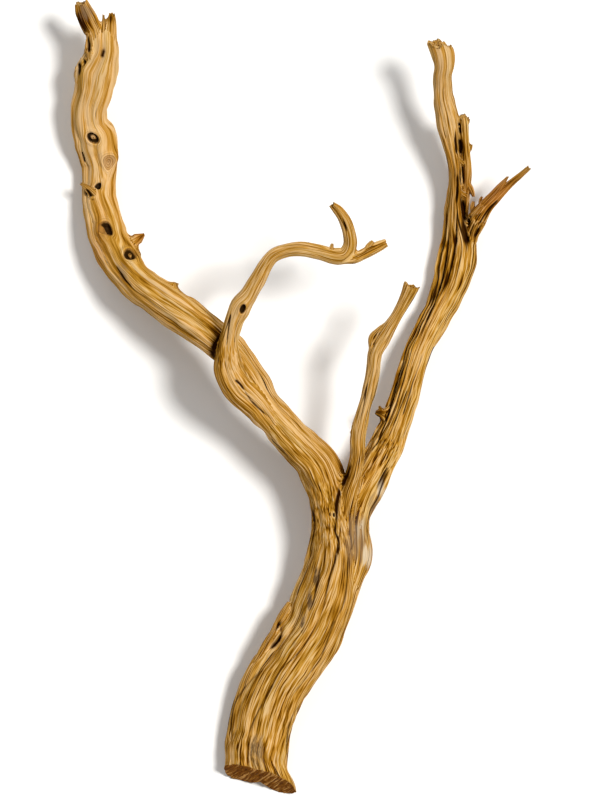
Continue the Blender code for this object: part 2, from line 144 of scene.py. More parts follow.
brokenHorn = {
    "seed": "broken_horn", "joint": 5, "sides": 52, "step": 1.6, "ragged": 1.6, "slant": 0.0,
    "ridges": (0.4, 0.6, 0.8), "cracks": (0.2, 0.6),
    "rings": (
        (-147.7, 262.5, 44, 6, 6), (-152.8, 273.6, 47, 7.4, 7), (-157.6, 282.4, 50, 7.9, 7.2),
        (-161.3, 290.6, 53, 6.9, 6.4), (-164, 297.6, 55, 4.9, 4.8),
    ),
}
topSplinter = {
    "seed": "top_splinter", "joint": 6, "sides": 36, "step": 1.6, "ragged": 2.0, "slant": 0.0,
    "ridges": (0.4, 0.5, 0.7), "cracks": (0.2, 0.4),
    "rings": (
        (-143, 262, 45, 6, 5.5), (-142.2, 274, 48, 6, 4.8), (-141.6, 283, 50, 4, 3.6),
        (-141.6, 289, 51.5, 2.6, 2.2),
    ),
}
# Small growths and torn splinters: how far each blends into its limb, and its rings.
shortStubs = {
    "edge_under_thorn": (7.0, (
        (-132, 104, 30, 9, 10), (-127, 107, 30.5, 8.4, 9), (-122.6, 109.6, 31, 6.4, 7),
        (-119.6, 111.4, 31.5, 3.2, 3.6))),
    "thorn_on_left_limb": (5.0, (
        (-129, 116, 30, 8.6, 7), (-124.6, 119, 31.6, 6.8, 5.4), (-120.8, 121.8, 32.8, 3.8, 3),
        (-117.2, 124.4, 33.8, 1.1, 1.2))),
    "swelling_on_left_limb": (8.0, (
        (-101, 74, 50, 11, 11), (-97.4, 80.4, 51, 10, 10), (-94.8, 85.4, 51.5, 7.5, 7),
        (-93.2, 88.8, 52, 3.5, 3.5))),
    "spike_in_hollow": (1.5, (
        (-152, 151, 22, 5, 4.6), (-156, 155.6, 27.4, 3.6, 3.4), (-161, 160.2, 29.6, 2, 2),
        (-164.8, 162.6, 30.4, 0.8, 0.9))),
    "second_top_splinter": (2.5, (
        (-146.6, 268, 47, 4.6, 3.6), (-147, 276, 49.5, 3.6, 2.8), (-147.2, 283, 51, 2.2, 2),
        (-147.3, 289, 52, 0.8, 0.8))),
    "web_between_splinters": (5.0, (
        (-144.6, 268, 45, 5, 4.4), (-144.4, 277, 47.4, 4.4, 3.4), (-144.3, 283.6, 48.6, 3.4, 2.6),
        (-144.2, 286.6, 49, 2, 1.6))),
    "ledge_on_left_limb": (3.0, (
        (-154, 258, 47, 7, 5.5), (-156, 267, 49.5, 5.2, 4.2), (-157, 273.5, 51.5, 3.4, 2.6),
        (-157.2, 277, 52.5, 1.8, 1.2))),
    "shoulder_splinter_high": (2.5, (
        (-158, 254, 42, 4.5, 5), (-159.4, 260, 43.5, 2.8, 3.2), (-160, 265.5, 44.5, 0.9, 1.2))),
    "shoulder_splinter_middle": (2.5, (
        (-161.5, 243, 38, 5, 6), (-163.3, 251, 39.5, 3, 3.6), (-163.9, 256.6, 40.5, 0.9, 1.3))),
    "shoulder_splinter_low": (3.0, (
        (-164.5, 236, 35, 4.4, 6), (-167, 244.5, 37, 2.7, 3.4), (-168.3, 250.6, 38, 0.8, 1.2))),
    "web_in_crotch": (9.0, (
        (50.5, -44, 40, 2.6, 4), (48, -54, 44, 5, 8), (44.4, -66, 47.5, 7, 10), (41.4, -79, 47, 8.6, 11),
        (39.6, -93, 44.5, 9.6, 12), (38.6, -108, 42, 9.8, 12), (35, -124, 40.5, 9, 11),
        (30, -140, 37, 7, 9))),
    "shell_strand_on_trunk": (2.0, (
        (-7, -153, 33, 3, 5), (-12.4, -161.6, 33.5, 3.8, 5.6), (-16.6, -168, 34, 3, 5.2),
        (-19.8, -174.4, 34, 2.6, 5), (-23.8, -181, 33, 3, 5), (-28, -188.4, 31, 3.2, 4.8),
        (-32.4, -196, 28.5, 2.6, 4), (-36.6, -203, 26, 1.4, 3))),
    "stub_on_right_limb": (3.0, (
        (69, -12, 36, 6.5, 5.5), (63.6, -10.6, 37.4, 5.2, 4.4), (59.8, -9.6, 38.2, 3.4, 3),
        (56.8, -9.4, 38.6, 1.3, 1.3))),
    "tooth_on_right_limb": (1.6, (
        (63, -11, 38, 2.6, 2.6), (60.8, -7.4, 39, 1.8, 1.8), (59.6, -5, 39.4, 0.8, 0.8))),
    "hump_on_middle_branch": (2.2, (
        (54, 32, 86, 1.2, 1.6), (53.8, 40.5, 88, 2.5, 2.8), (54.2, 46.6, 89.5, 3, 3.1),
        (58.2, 51.4, 91.2, 2.4, 2.6), (63.4, 57, 93.5, 1.1, 1.4))),
    "nub_low_on_middle_branch": (1.8, (
        (43.4, -25, 69, 2.4, 2.6), (39.2, -24.6, 70, 1.4, 1.6), (37.6, -23.6, 70.4, 0.6, 0.7))),
    "nub_on_curled_twig": (2.0, (
        (22, 108, 113, 3, 2.6), (23.4, 113.4, 114, 1.8, 1.7), (24.2, 116.2, 114.4, 0.7, 0.7))),
    "knob_on_twig_fork": (2.0, (
        (50, 111.6, 109, 3.4, 2.8), (53, 115.4, 108, 2.9, 2.5), (54.6, 117.8, 107.4, 1.7, 1.6))),
    "splinter_on_spur": (1.6, (
        (129, 137, 27, 3.6, 4), (137, 145.8, 33.5, 3.4, 3.8), (144.6, 153.8, 40, 2.9, 3.2),
        (151, 161.2, 45.5, 2.2, 2.4), (155.8, 167.2, 49.5, 0.9, 1))),
    "bump_on_spur": (1.4, (
        (130.6, 140, 26, 2.6, 2.8), (129.8, 145, 27.5, 1.9, 2.1), (130.4, 149, 28.6, 0.9, 0.9))),
    "tooth_on_spur": (1.2, (
        (136, 144, 31, 2.2, 2.4), (135.6, 149.6, 32.5, 1.4, 1.5), (136.6, 152.6, 33.3, 0.7, 0.7))),
    "flap_on_ragged_strand": (1.6, (
        (125.6, 163, 28, 2.6, 3), (128.6, 157.4, 27, 2.1, 2.4), (130.4, 153, 26, 0.9, 1.1))),
    "wall_behind_strand": (1.5, (
        (117, 122, 14, 5, 4), (120, 140, 17, 4.4, 3.6), (121.4, 158, 21.5, 4, 3.2), (121, 176, 27, 4, 3),
        (119, 193, 34, 4, 3), (117.4, 205, 40, 3.4, 2.6), (116.6, 211, 44, 2, 2))),
    "knob_on_strand_top": (1.8, (
        (121, 204, 44, 3.4, 3), (124.4, 208.6, 45, 3, 2.6), (126.6, 211.4, 45.6, 1.4, 1.4))),
    "knob_on_strand": (1.8, (
        (123.4, 186, 35, 3.6, 3.4), (126.8, 189.6, 36, 2.6, 2.4), (128.2, 192, 36.6, 1, 1))),
    "bridge_over_slit": (1.8, (
        (114.6, 183, 39, 2.4, 2.4), (118.6, 180.4, 37, 2.2, 2), (122.4, 177.4, 34.6, 2.4, 2.4))),
    "bridge_low_over_slit": (1.8, (
        (116.6, 158, 31, 2.6, 2.4), (120.4, 155.6, 29.4, 2.2, 2), (124.6, 152.8, 27, 2.6, 2.4))),
    "strand_by_slit": (1.6, (
        (119.6, 128, 22, 2.4, 3), (119.8, 146, 25.5, 1.9, 2.6), (120.4, 163, 29.5, 1.8, 2.4),
        (119.4, 178, 34, 1.6, 2.2), (117.4, 190, 39, 1.2, 1.6), (115.8, 197, 42, 0.7, 0.9))),
}
stubSkin = {
    "sides": 24, "step": 1.25, "ragged": 0.7, "slant": 0.0, "ridges": (0.5, 0.7), "cracks": (0.1, 0.3),
}

# Knots seen from above: at is (across, up), size is (half width, half length) of the hollow or disc, depth
# is how far it is sunk, and rim how far its lip stands proud. pip is how far its middle stands up, pipReach
# how wide that is, and pipHole how wide the dark spot on it. dark sets where the painted shade inside the
# hollow begins, from -1 at the lower left to 1 at the upper right. lean turns the knot by degrees, and tail
# narrows its lower end.
knots = {
    "driftwood": (
        {"at": (-155.2, 196.6), "size": (3.6, 5.2), "depth": 4.2, "rim": 0.8, "pip": 3.4, "pipReach": 0.46,
         "dark": -1.2, "lean": -28},
        {"at": (-143.4, 178.1), "size": (4.6, 5.6), "depth": 0.6, "rim": 0.5, "pip": -1.4, "tail": 0.4,
         "lean": 20},
        {"at": (-162.8, 182.5), "size": (1.2, 4.5), "depth": 3.0, "rim": 0.2},
        {"at": (-151.6, 160.2), "size": (2.7, 2.4), "depth": 3.4, "rim": 0.5, "lean": -40, "tail": 0.5},
        {"at": (-145.2, 127.8), "size": (4.4, 6.5), "depth": 4.6, "rim": 0.9, "dark": -0.1, "tail": 0.45,
         "lean": -26},
        {"at": (-127.2, 109.8), "size": (4.8, 5.0), "depth": 4.0, "rim": 1.3, "pip": 3.2, "pipReach": 0.42,
         "dark": -0.7, "pipHole": 0.15},
        {"at": (22.5, -85.5), "size": (0.9, 1.3), "depth": 2.5, "rim": 0.1},
        {"at": (25.5, -86.2), "size": (0.9, 1.4), "depth": 2.5, "rim": 0.1},
    ),
    "curled_twig": (
        {"at": (-42.9, 67.9), "size": (2.3, 3.9), "depth": 3.4, "rim": 0.4, "lean": -16},
    ),
}

# Grooves, slits and holes seen from above, by the limbs that they cross: each runs through its points. Each
# is carved, and its darkness is painted shade.
grooves = {
    "driftwood right_limb middle_branch web_in_crotch": (
        {"halfWidth": 2.6, "depth": 3.4, "points": ((37, -48), (33.4, -58), (30, -66))},
        {"halfWidth": 1.6, "depth": 3.2, "points": ((32.4, -60), (29.4, -70), (27.6, -80), (27.4, -94))},
        {"halfWidth": 0.9, "depth": 2.0, "points": ((27.6, -88), (26.5, -98), (29.5, -108), (26.5, -122))},
        {"halfWidth": 0.9, "depth": 1.6, "points": (
            (31, -92), (29, -106), (26, -122), (22.5, -132), (19.5, -146), (16.3, -160))},
        {"halfWidth": 0.8, "depth": 1.3, "points": (
            (16.8, -152), (15.7, -161), (7.3, -178), (-2.2, -191), (-14, -202), (-21.5, -215),
            (-29.3, -229.5), (-36.8, -245.7), (-39.7, -260), (-40, -276))},
        {"halfWidth": 0.9, "depth": 1.1, "points": (
            (43.5, -90), (40.5, -106), (36.5, -118), (35.5, -134), (33, -152), (24.7, -169), (19.5, -184),
            (15, -195), (9, -203), (-6, -222), (-13.5, -231))},
        {"halfWidth": 0.9, "depth": 1.0, "points": (
            (-21.4, -199.5), (-33.9, -207.4), (-46.3, -222.8), (-51, -236), (-52, -274))},
        {"halfWidth": 1.0, "depth": 1.1, "points": (
            (4.4, -222.8), (-6.2, -239), (-9.5, -255), (-9, -269.6), (-7, -283))},
        {"halfWidth": 1.0, "depth": 1.3, "points": (
            (15.4, -122), (14, -131), (11.6, -142.5), (9.2, -153), (6.3, -160))},
        {"halfWidth": 0.8, "depth": 1.8, "points": ((-138.8, 101.5), (-132, 91), (-126.4, 84.7))},
    ),
    "driftwood shell_strand_on_trunk": (
        {"halfWidth": 2.1, "depth": 5.0, "points": ((-15.4, -169), (-15.9, -172.4))},
        {"halfWidth": 1.6, "depth": 6.0, "points": (
            (-14.6, -174.6), (-16.2, -179), (-19, -183), (-23.4, -187.6))},
    ),
    "driftwood spike_in_hollow": (
        {"halfWidth": 2.0, "depth": 3.6, "points": ((-161.4, 158.4), (-158.6, 154), (-155.2, 150.6))},
    ),
    "driftwood ledge_on_left_limb top_splinter broken_horn second_top_splinter": (
        {"halfWidth": 1.5, "depth": 2.8, "points": ((-147.6, 261), (-148.2, 258.6))},
        {"halfWidth": 2.4, "depth": 3.6, "points": ((-169.5, 290), (-166, 279.5), (-160.4, 272.5))},
        {"halfWidth": 1.5, "depth": 4.2, "points": ((-159.6, 273), (-158.4, 266), (-158.8, 260))},
        {"halfWidth": 1.3, "depth": 4.0, "points": ((-162.4, 262), (-161.6, 256.6), (-162.4, 250.6))},
        {"halfWidth": 1.2, "depth": 3.6, "points": ((-167, 255), (-165.6, 250), (-166.4, 243))},
    ),
    "right_limb splintered_spur ragged_strand splinter_on_spur": (
        {"halfWidth": 2.3, "depth": 6.0, "points": ((126.6, 124.6), (126, 119.4))},
        {"halfWidth": 1.6, "depth": 5.0, "points": ((127, 139), (126, 133), (124.4, 127))},
        {"halfWidth": 0.9, "depth": 2.4, "points": ((134, 131), (141, 142), (149, 150.6))},
        {"halfWidth": 0.9, "depth": 2.4, "points": ((131, 122), (134.6, 130))},
    ),
    "right_limb strand_by_slit wall_behind_strand ragged_strand": (
        {"halfWidth": 1.1, "depth": 3.0, "points": ((119.2, 208), (119.6, 204), (120.2, 199))},
        {"halfWidth": 1.2, "depth": 3.4, "points": ((119.6, 196), (120.6, 190), (120.4, 184))},
        {"halfWidth": 1.5, "depth": 4.0, "points": ((121.4, 176), (121.6, 168), (121.8, 160))},
        {"halfWidth": 1.4, "depth": 4.0, "points": ((122.2, 150), (123.4, 142), (124.6, 134))},
        {"halfWidth": 1.1, "depth": 2.6, "points": ((116.6, 202), (117.4, 190), (117.8, 184))},
        {"halfWidth": 1.1, "depth": 2.6, "points": ((118.4, 170), (118.2, 160), (117.6, 148))},
    ),
    "right_limb": (
        {"halfWidth": 1.0, "depth": 2.8, "points": ((112, 130), (110, 108), (105, 85), (96, 62), (88, 44))},
        {"halfWidth": 1.0, "depth": 2.6, "points": ((118, 142), (117, 120), (113, 98), (107, 80))},
        {"halfWidth": 1.0, "depth": 2.4, "points": ((57, -35), (64, -16), (72, 8), (79, 30))},
    ),
    "middle_branch hump_on_middle_branch": (
        {"halfWidth": 0.9, "depth": 2.4, "points": ((54.6, 39), (55.6, 46), (60, 51.4))},
    ),
    "driftwood": (
        {"halfWidth": 2.4, "depth": 2.4, "points": ((-55, 52), (-61.5, 45), (-65, 36), (-64, 24))},
    ),
    "curled_twig driftwood": (
        {"halfWidth": 0.9, "depth": 2.4, "points": ((-49.5, 15.5), (-45, 12), (-41, 6.5))},
        {"halfWidth": 0.8, "depth": 1.4, "points": ((-43, 10), (-37, 0), (-29, -8), (-20, -15))},
    ),
    "curled_twig": (
        {"halfWidth": 0.8, "depth": 2.0, "points": ((31.6, 134.4), (33.6, 129), (34.6, 124.6))},
    ),
}

# Patches of weather and of painted light seen from above: (across, up, reach across, reach up, strength). A
# tone patch is lighter than the rest of the wood, or darker where its strength is below 0; some dark ones are
# painted shade, and two bleached patches are painted highlights.
weatherAndPaintedLight = {
    "grey": (
        (-160, 291, 10, 10, 1.0),
        (-133, 96, 7, 16, 0.9), (-121, 84, 6, 14, 0.6), (-150, 158, 9, 18, 0.35), (-144, 176, 6, 6, 0.5),
        (-4, -184, 3.4, 12, 0.9), (2, -167, 3.4, 12, 0.95), (7.5, -150, 3.4, 12, 1.0),
        (12.5, -132, 3.4, 12, 1.0), (-33, -266, 12, 22, 0.95),
        (43, -104, 14, 27, 1.15), (56, -80, 7, 16, 1.1), (-4, -262, 3.4, 26, 1.1),
        (-9, -245, 4, 30, 0.7), (-48, -215, 6, 22, 0.4), (-22, 14, 8, 16, 0.3), (-20, -14, 9, 20, 0.3),
    ),
    "bleachedAndHighlit": (
        # The first two are painted highlights; the others are bleached wood.
        (61, -67, 4.5, 11, 1.2), (50, -117, 5, 12, 1.3), (45, -98, 7, 16, 0.85), (-7, -268, 4, 18, 0.6),
        (-11, 112, 14, 5, 0.25),
    ),
    "tone": (
        (-155, 215, 60, 100, 0.16), (-125, 100, 45, 40, -0.1), (-40, 95, 60, 40, 0.1),
        (18, -95, 34, 34, -0.1), (122, 170, 8, 50, -0.14), (108, 215, 11, 50, 0.2),
        # (-166, 281) is painted shade under the broken horn.
        (-15, -240, 45, 40, -0.08), (-166, 281, 7, 9, -0.9), (-47, -235, 10, 40, -0.12),
        # The curled twig's painted shadow on the left limb.
        (-61, 40, 6, 13, -0.35),
        # The first three are painted shade along the right limb's left edge.
        (75, 44, 5, 16, -0.3), (68, 14, 5, 16, -0.3), (60, -16, 5, 16, -0.3), (-119.5, 123, 3, 3, -0.3),
        (-142, 286, 2.6, 3, -0.5),
        (59, -10, 5, 6, -0.35), (87, 78, 6, 20, -0.25), (33, -52, 5, 7, -0.4), (30, 95, 60, 60, 0.1),
        # The last three are painted shade along the neck's left edge.
        (80, 0, 30, 70, 0.14), (-8, -52, 7, 14, -0.3), (2, -72, 6, 16, -0.35), (8, -95, 5, 20, -0.25),
    ),
    "reddish": (
        (148, 154, 22, 20, 1.0), (-119, 123, 5, 5, 0.9), (-165, 283, 8, 10, 0.4), (-152, 105, 6, 34, 0.5),
    ),
    "pitted": ((11.5, -134, 2.6, 11, 1.1), (7, -152, 2.6, 11, 1.1), (1.5, -169, 2.4, 11, 0.9),
               (-34, -264, 9, 18, 0.8), (-5, -258, 3, 26, 0.8)),
}
# The broad form in millimetres, as the solid has it, and how finely the skin is made. closestPoints is in
# metres.
form = {
    "grooveCounts": (3, 5, 8), "grooveShares": (0.45, 0.35, 0.3), "grooveWander": (90.0, 60.0, 45.0),
    "grooveLean": 1.6, "grooveShareOfRadius": 0.115, "grooveCrest": 1.6, "smallestFlutedRadius": 3.0,
    "footPoint": (-30.0, -285.4, 14.0), "footNormal": (-0.25, -0.88, 0.4), "footFade": 45.0,
    "gutterDepth": 14.5, "gutterReach": 90.0, "gutterWidth": math.radians(29), "wornAwayBelow": 1.5,
    "sawSlant": 0.45, "sawTearDepth": 0.7, "sawnLoops": 14, "rootLoops": 3,
    "chipDepth": 0.7, "chipReach": 1.5, "finerOnTop": 0.33, "finerBelowGirth": 11.0,
    "closestStep": 0.4, "closeReach": 7.0, "closeFade": 8.0, "widestJoint": 10.0,
    "smoothingRounds": 110, "middleOfSolid": (0.4, 1.1), "closestPoints": 0.000004, "fewestFaces": 60,
}
# What the weather has done to the fibres, in millimetres. A noise is (width across the fibres, length along
# them, offset, seed).
weather = {
    "strand": (6.2, 260, 0, 1), "thread": (3.1, 170, 0, 2), "opening": (12, 60, 0, 3),
    "split": (8.5, 220, 3, 4),
    "bend": (30, 70, 5, 11), "curl": (9, 40, 9, 12), "lump": (15, 24, 20, 41), "smallLump": (7, 11, 20, 42),
    "strandHeight": 0.8, "threadHeight": 0.6, "crestRise": 2.2, "crestRoundness": 0.8, "crestMean": 0.62,
    "crackDepth": 1.6, "crackWidth": 0.085, "bendReach": 2.2, "curlReach": 0.3, "lumpHeight": 1.5,
    "frayReach": 5.0, "frayTeeth": 6.6,
}


# Smooth noise from about -1 to 1 at points, with one lattice cell to a unit.
def latticeNoise(points, seed):
    cell = np.floor(points).astype(np.int64)
    inside = points - cell
    blend = inside ** 3 * (inside * (inside * 6 - 15) + 10)
    total = np.zeros(len(points))
    for corner in itertools.product((0, 1), repeat=3):
        key = (cell + corner) @ np.array((73856093, 19349663, 83492791)) + seed * 7919
        key = (key ^ (key >> 13)) * 1274126177 & 0xFFFFFFFF
        key = (key ^ (key >> 15)) * 2246822519 & 0xFFFFFFFF
        slope = np.stack([(key >> shift & 255) / 127.5 - 1 for shift in (0, 8, 16)], axis=1)
        weight = np.prod(np.where(corner, blend, 1 - blend), axis=1)
        total += weight * np.einsum("ij,ij->i", slope, inside - corner)
    return 1.6 * total


def fibreNoise(points, name):
    width, length, offset, seed = weather[name]
    return latticeNoise(points / (width, width, length) + offset, seed)


def smoothStep(low, high, value):
    t = np.clip((value - low) / (high - low), 0, 1)
    return t * t * (3 - 2 * t)


# Reads a Catmull-Rom curve through the points at the given number of steps to each span.
def smoothCurve(points, stepsPerSpan=24):
    points = np.array(points, float)
    padded = np.vstack([2 * points[0] - points[1], points, 2 * points[-1] - points[-2]])
    t = (np.arange(stepsPerSpan) / stepsPerSpan)[:, None]
    spans = []
    for a, b, c, d in zip(padded, padded[1:], padded[2:], padded[3:]):
        spans.append(0.5 * (2 * b + (c - a) * t + (2 * a - 5 * b + 4 * c - d) * t ** 2
                            + (3 * b - a - 3 * c + d) * t ** 3))
    return np.vstack(spans + [points[-1:]])


# Places rings along the curve, closer together beside knots and at a broken end.
def placeRings(limb, fineSpots):
    dense = smoothCurve(limb["rings"])
    reach = np.concatenate([[0], np.cumsum(np.linalg.norm(np.diff(dense[:, :3], axis=0), axis=1))])
    spots = [reach[-1]] + [reach[np.argmin(np.hypot(*(dense[:, :2] - spot).T))] for spot in fineSpots]
    along, places = 0.0, []
    while along < reach[-1]:
        places.append(along)
        near = min(abs(along - spot) for spot in spots)
        farther = min(1.0, max(0.0, (near - form["closeReach"]) / form["closeFade"]))
        along += limb["step"] * (form["closestStep"] + (1 - form["closestStep"]) * farther)
    places = np.array(places + [reach[-1]])
    return np.column_stack([np.interp(places, reach, column) for column in dense.T]), places


def ringFrames(centres):
    forward = np.gradient(centres, axis=0)
    forward /= np.linalg.norm(forward, axis=1)[:, None]
    upward = np.array((0.0, 0.0, 1.0)) - forward[:, 2:3] * forward
    upward /= np.linalg.norm(upward, axis=1)[:, None]
    return forward, np.cross(forward, upward), upward


# The broad flutes of the limb, as the solid has them.
def broadFlutes(seed, turn, along):
    draw = random.Random(seed)
    relief = 0.0
    for count, share, wander in zip(form["grooveCounts"], form["grooveShares"], form["grooveWander"]):
        phase, drift = draw.uniform(0, 2 * math.pi), draw.uniform(0, 2 * math.pi)
        lean = form["grooveLean"] * np.sin(along / wander + drift)
        flute = 2 * np.abs(np.sin((count * turn + phase + lean) / 2)) - form["grooveCrest"]
        relief = relief + share * flute
    return relief


def raggedEdge(limb, turn):
    draw = random.Random(limb["seed"] + " end")
    edge = -limb["slant"] * np.cos(turn)
    for teeth, share in zip((2, 3, 5), (0.5, 0.3, 0.35)):
        edge = edge + limb["ragged"] * share * np.sin(teeth * turn + draw.uniform(0, 2 * math.pi))
    return edge


# The distance from every point to a line of short pieces, seen from above, and how far along it is nearest.
def distanceToLine(points, line):
    best = np.full(len(points), 1e9)
    share = np.zeros(len(points))
    for i in range(len(line) - 1):
        start, run = line[i], line[i + 1] - line[i]
        t = np.clip((points - start) @ run / (run @ run), 0, 1)
        gap = np.hypot(*(points - start - t[:, None] * run).T)
        nearer = gap < best
        best[nearer] = gap[nearer]
        share[nearer] = (i + t[nearer]) / (len(line) - 1)
    return best, share


# Presses the limb's knots into its skin. Gives how far the fibres part round them, how near each point is to
# one (in knot radii), how high it stands, and how much painted shade it has in a knot's hollow.
def pressKnots(limbKnots, points, turns, forward, across, upward):
    parted, height, paintedKnotShade = np.zeros((3, len(points)))
    nearest = np.full(len(points), 3.0)
    isSeen = np.sin(turns).ravel() > -0.2
    for knot in limbKnots:
        offset = points[:, :2] - np.array(knot["at"])
        centre = int(np.argmin(np.where(isSeen, np.hypot(*offset.T), 1e9)))
        ring, side = divmod(centre, turns.shape[1])
        turn = turns[ring, side]
        away = points - points[centre]
        sideDirection = -math.sin(turn) * across[ring] + math.cos(turn) * upward[ring]
        u, v = away @ sideDirection, away @ forward[ring]
        depthAway = away @ np.cross(forward[ring], sideDirection)
        halfSide, halfLength = knot["size"]
        lean = math.radians(knot.get("lean", 0))
        shaded = 0.7 * (v / halfLength - u / halfSide)
        u, v = u * math.cos(lean) + v * math.sin(lean), v * math.cos(lean) - u * math.sin(lean)
        u = u / np.clip(1 + knot.get("tail", 0) * v / halfLength, 0.4, 1.4)
        r = np.sqrt((u / halfSide) ** 2 + (v / halfLength) ** 2 + (depthAway / (3 * halfSide)) ** 2)
        nearest = np.minimum(nearest, r)
        parted -= u / (r ** 2 + 0.9) * smoothStep(5.0, 2.2, r)
        pip, pipReach = knot.get("pip", 0), knot.get("pipReach", 0.4)
        onPip = smoothStep(pipReach + 0.1, pipReach - 0.18, r)
        height += knot["rim"] * np.exp(-((r - 1.3) / 0.3) ** 2)
        height += pip * onPip - knot["depth"] * smoothStep(1.08, 0.62, r)
        # The hollow's wall towards the light, on the upper right, and the dark spot on the pip are painted
        # shade.
        dark = knot.get("dark", -2)
        shade = smoothStep(1.05, 0.85, r) * smoothStep(dark - 0.2, dark + 0.2, shaded)
        shade *= min(1.0, knot["depth"] / 3) * (1 - min(1.0, max(0.0, pip)) * onPip)
        shade = np.maximum(shade, smoothStep(1.3, 0.7, r / max(knot.get("pipHole", 0), 1e-6)))
        paintedKnotShade = np.maximum(paintedKnotShade, shade * (r < 1.3))
    return parted, nearest, height, paintedKnotShade


# The rounded ridge between two cuts of the weather, from a noise that is 0 along the cuts.
def crest(value):
    rise = np.minimum(weather["crestRise"] * np.abs(value), 1)
    return rise ** weather["crestRoundness"] - weather["crestMean"]


# Weather has cut between the strands of fibres, and some of the cuts have opened into cracks. Gives the
# relief, how near each point is to a cut, to a finer cut and to a crack, and how rough the wood is there.
def weatherFibres(limb, grain, straight, thin, toTip, calm):
    ridges, cracks = (np.interp(toTip, np.linspace(0, 1, len(limb[name])), limb[name])
                      for name in ("ridges", "cracks"))
    strand, thread, split = (fibreNoise(grain, name) for name in ("strand", "thread", "split"))
    opened = smoothStep(0.1, -0.3, fibreNoise(grain, "opening") - 0.7 * (cracks - 0.6))
    crack = np.exp(-(split / weather["crackWidth"]) ** 2) * opened
    relief = weather["strandHeight"] * crest(strand) + weather["threadHeight"] * crest(thread)
    relief = (relief * ridges - weather["crackDepth"] * crack * cracks) * np.clip(thin / 12, 0.35, 1.1) * calm
    lumps = fibreNoise(straight, "lump") + 0.5 * fibreNoise(straight, "smallLump")
    relief += weather["lumpHeight"] * lumps * calm * np.clip(thin / 9, 0.3, 1)
    farOff = 9 * (1 - calm)
    parting = np.stack([strand + farOff, thread + farOff, np.abs(split) + 1.2 * (1 - opened * calm)], axis=1)
    return relief, parting, ridges


# The skin of one limb: where its points are, which way the grain runs there, how each point has worn, and
# the painted shade in its knot hollows.
def growLimb(limb):
    limbKnots = knots.get(limb["seed"], ())
    stations, along = placeRings(limb, [knot["at"] for knot in limbKnots])
    centres, halfWidth, halfDepth = stations[:, :3], stations[:, 3:4], stations[:, 4:5]
    forward, across, upward = ringFrames(centres)
    sides = limb["sides"]
    even = 2 * math.pi * np.arange(sides) / sides
    turn = even + form["finerOnTop"] * np.cos(even)
    turns, distance = np.meshgrid(turn, along)
    thin = np.minimum(halfWidth, halfDepth)
    isTrunk = limb is trunkAndLeftLimb
    flutes = broadFlutes(limb["seed"], turns, distance) * form["grooveShareOfRadius"] * thin
    flutes *= np.clip(thin / form["smallestFlutedRadius"] - 1, 0, 1)
    if isTrunk:
        below = np.exp(-((turns - 1.5 * math.pi) / form["gutterWidth"]) ** 2)
        flutes -= form["gutterDepth"] * below * np.clip(1 - distance / form["gutterReach"], 0, 1)
    sideways = ((halfWidth + flutes) * np.cos(turns))[:, :, None] * across[:, None, :]
    outward = ((halfDepth + flutes) * np.sin(turns))[:, :, None] * upward[:, None, :]
    skin = centres[:, None, :] + sideways + outward

    # Grain space is the limb pulled straight to an even girth, in millimetres, with the fibres wandering
    # sideways and parted round each knot.
    toTip = distance / along[-1]
    thickPart, thinPart = thin[toTip[:, 0] < 0.33].mean(), thin[toTip[:, 0] > 0.33].mean()
    girth = thickPart + (thinPart - thickPart) * smoothStep(0.28, 0.38, toTip)
    girth = girth * np.maximum(1, np.sqrt(form["finerBelowGirth"] / girth))
    straight = np.stack([girth * np.cos(turns), girth * np.sin(turns), distance], axis=2).reshape(-1, 3)
    points = skin.reshape(-1, 3)
    parted, knotRing, knotHeight, knotShade = pressKnots(limbKnots, points, turns, forward, across, upward)
    wander = weather["bendReach"] * fibreNoise(straight, "bend")
    wander += weather["curlReach"] * fibreNoise(straight, "curl")
    fibreTurn = turns + (wander + parted).reshape(turns.shape) / girth
    grain = np.stack([girth * np.cos(fibreTurn), girth * np.sin(fibreTurn), distance], axis=2).reshape(-1, 3)
    calm = smoothStep(1.0, 1.9, knotRing)
    relief, parting, roughness = weatherFibres(limb, grain, straight, np.repeat(thin, sides), toTip.ravel(),
                                               calm)

    # Broken ends fray into fibres, and the foot is sawn on a slant.
    fray = np.exp(-((along[-1] - along) / weather["frayReach"]) ** 2)[:, None]
    teeth = latticeNoise(weather["frayTeeth"] * np.stack([np.cos(turn), np.sin(turn), 0 * turn], axis=1), 21)
    edge = raggedEdge(limb, turn) + limb["ragged"] * 0.9 * teeth
    skin = skin + (fray * edge[None, :])[:, :, None] * forward[-1]
    if isTrunk:
        normal = np.array(form["footNormal"])
        sawn = (np.array(form["footPoint"]) - skin[0]) @ normal / (forward[0] @ normal)
        fade = np.clip(1 - along / form["footFade"], 0, 1)[:, None]
        skin = skin + (fade * sawn[None, :])[:, :, None] * forward[0]
        chipped = np.exp(-(along / form["chipReach"]) ** 2)[:, None] * (np.abs(teeth)[None, :] - 0.3)
        skin = skin + form["chipDepth"] * chipped[:, :, None] * forward[0]
    wearAndShade = {"grain": grain, "shade": knotShade, "parting": parting, "knot": knotRing, "roughness": roughness,
            "relief": relief + knotHeight}
    for name, values in wearAndShade.items():
        wearAndShade[name] = values.reshape(turns.shape + values.shape[1:])
    return skin, forward, wearAndShade


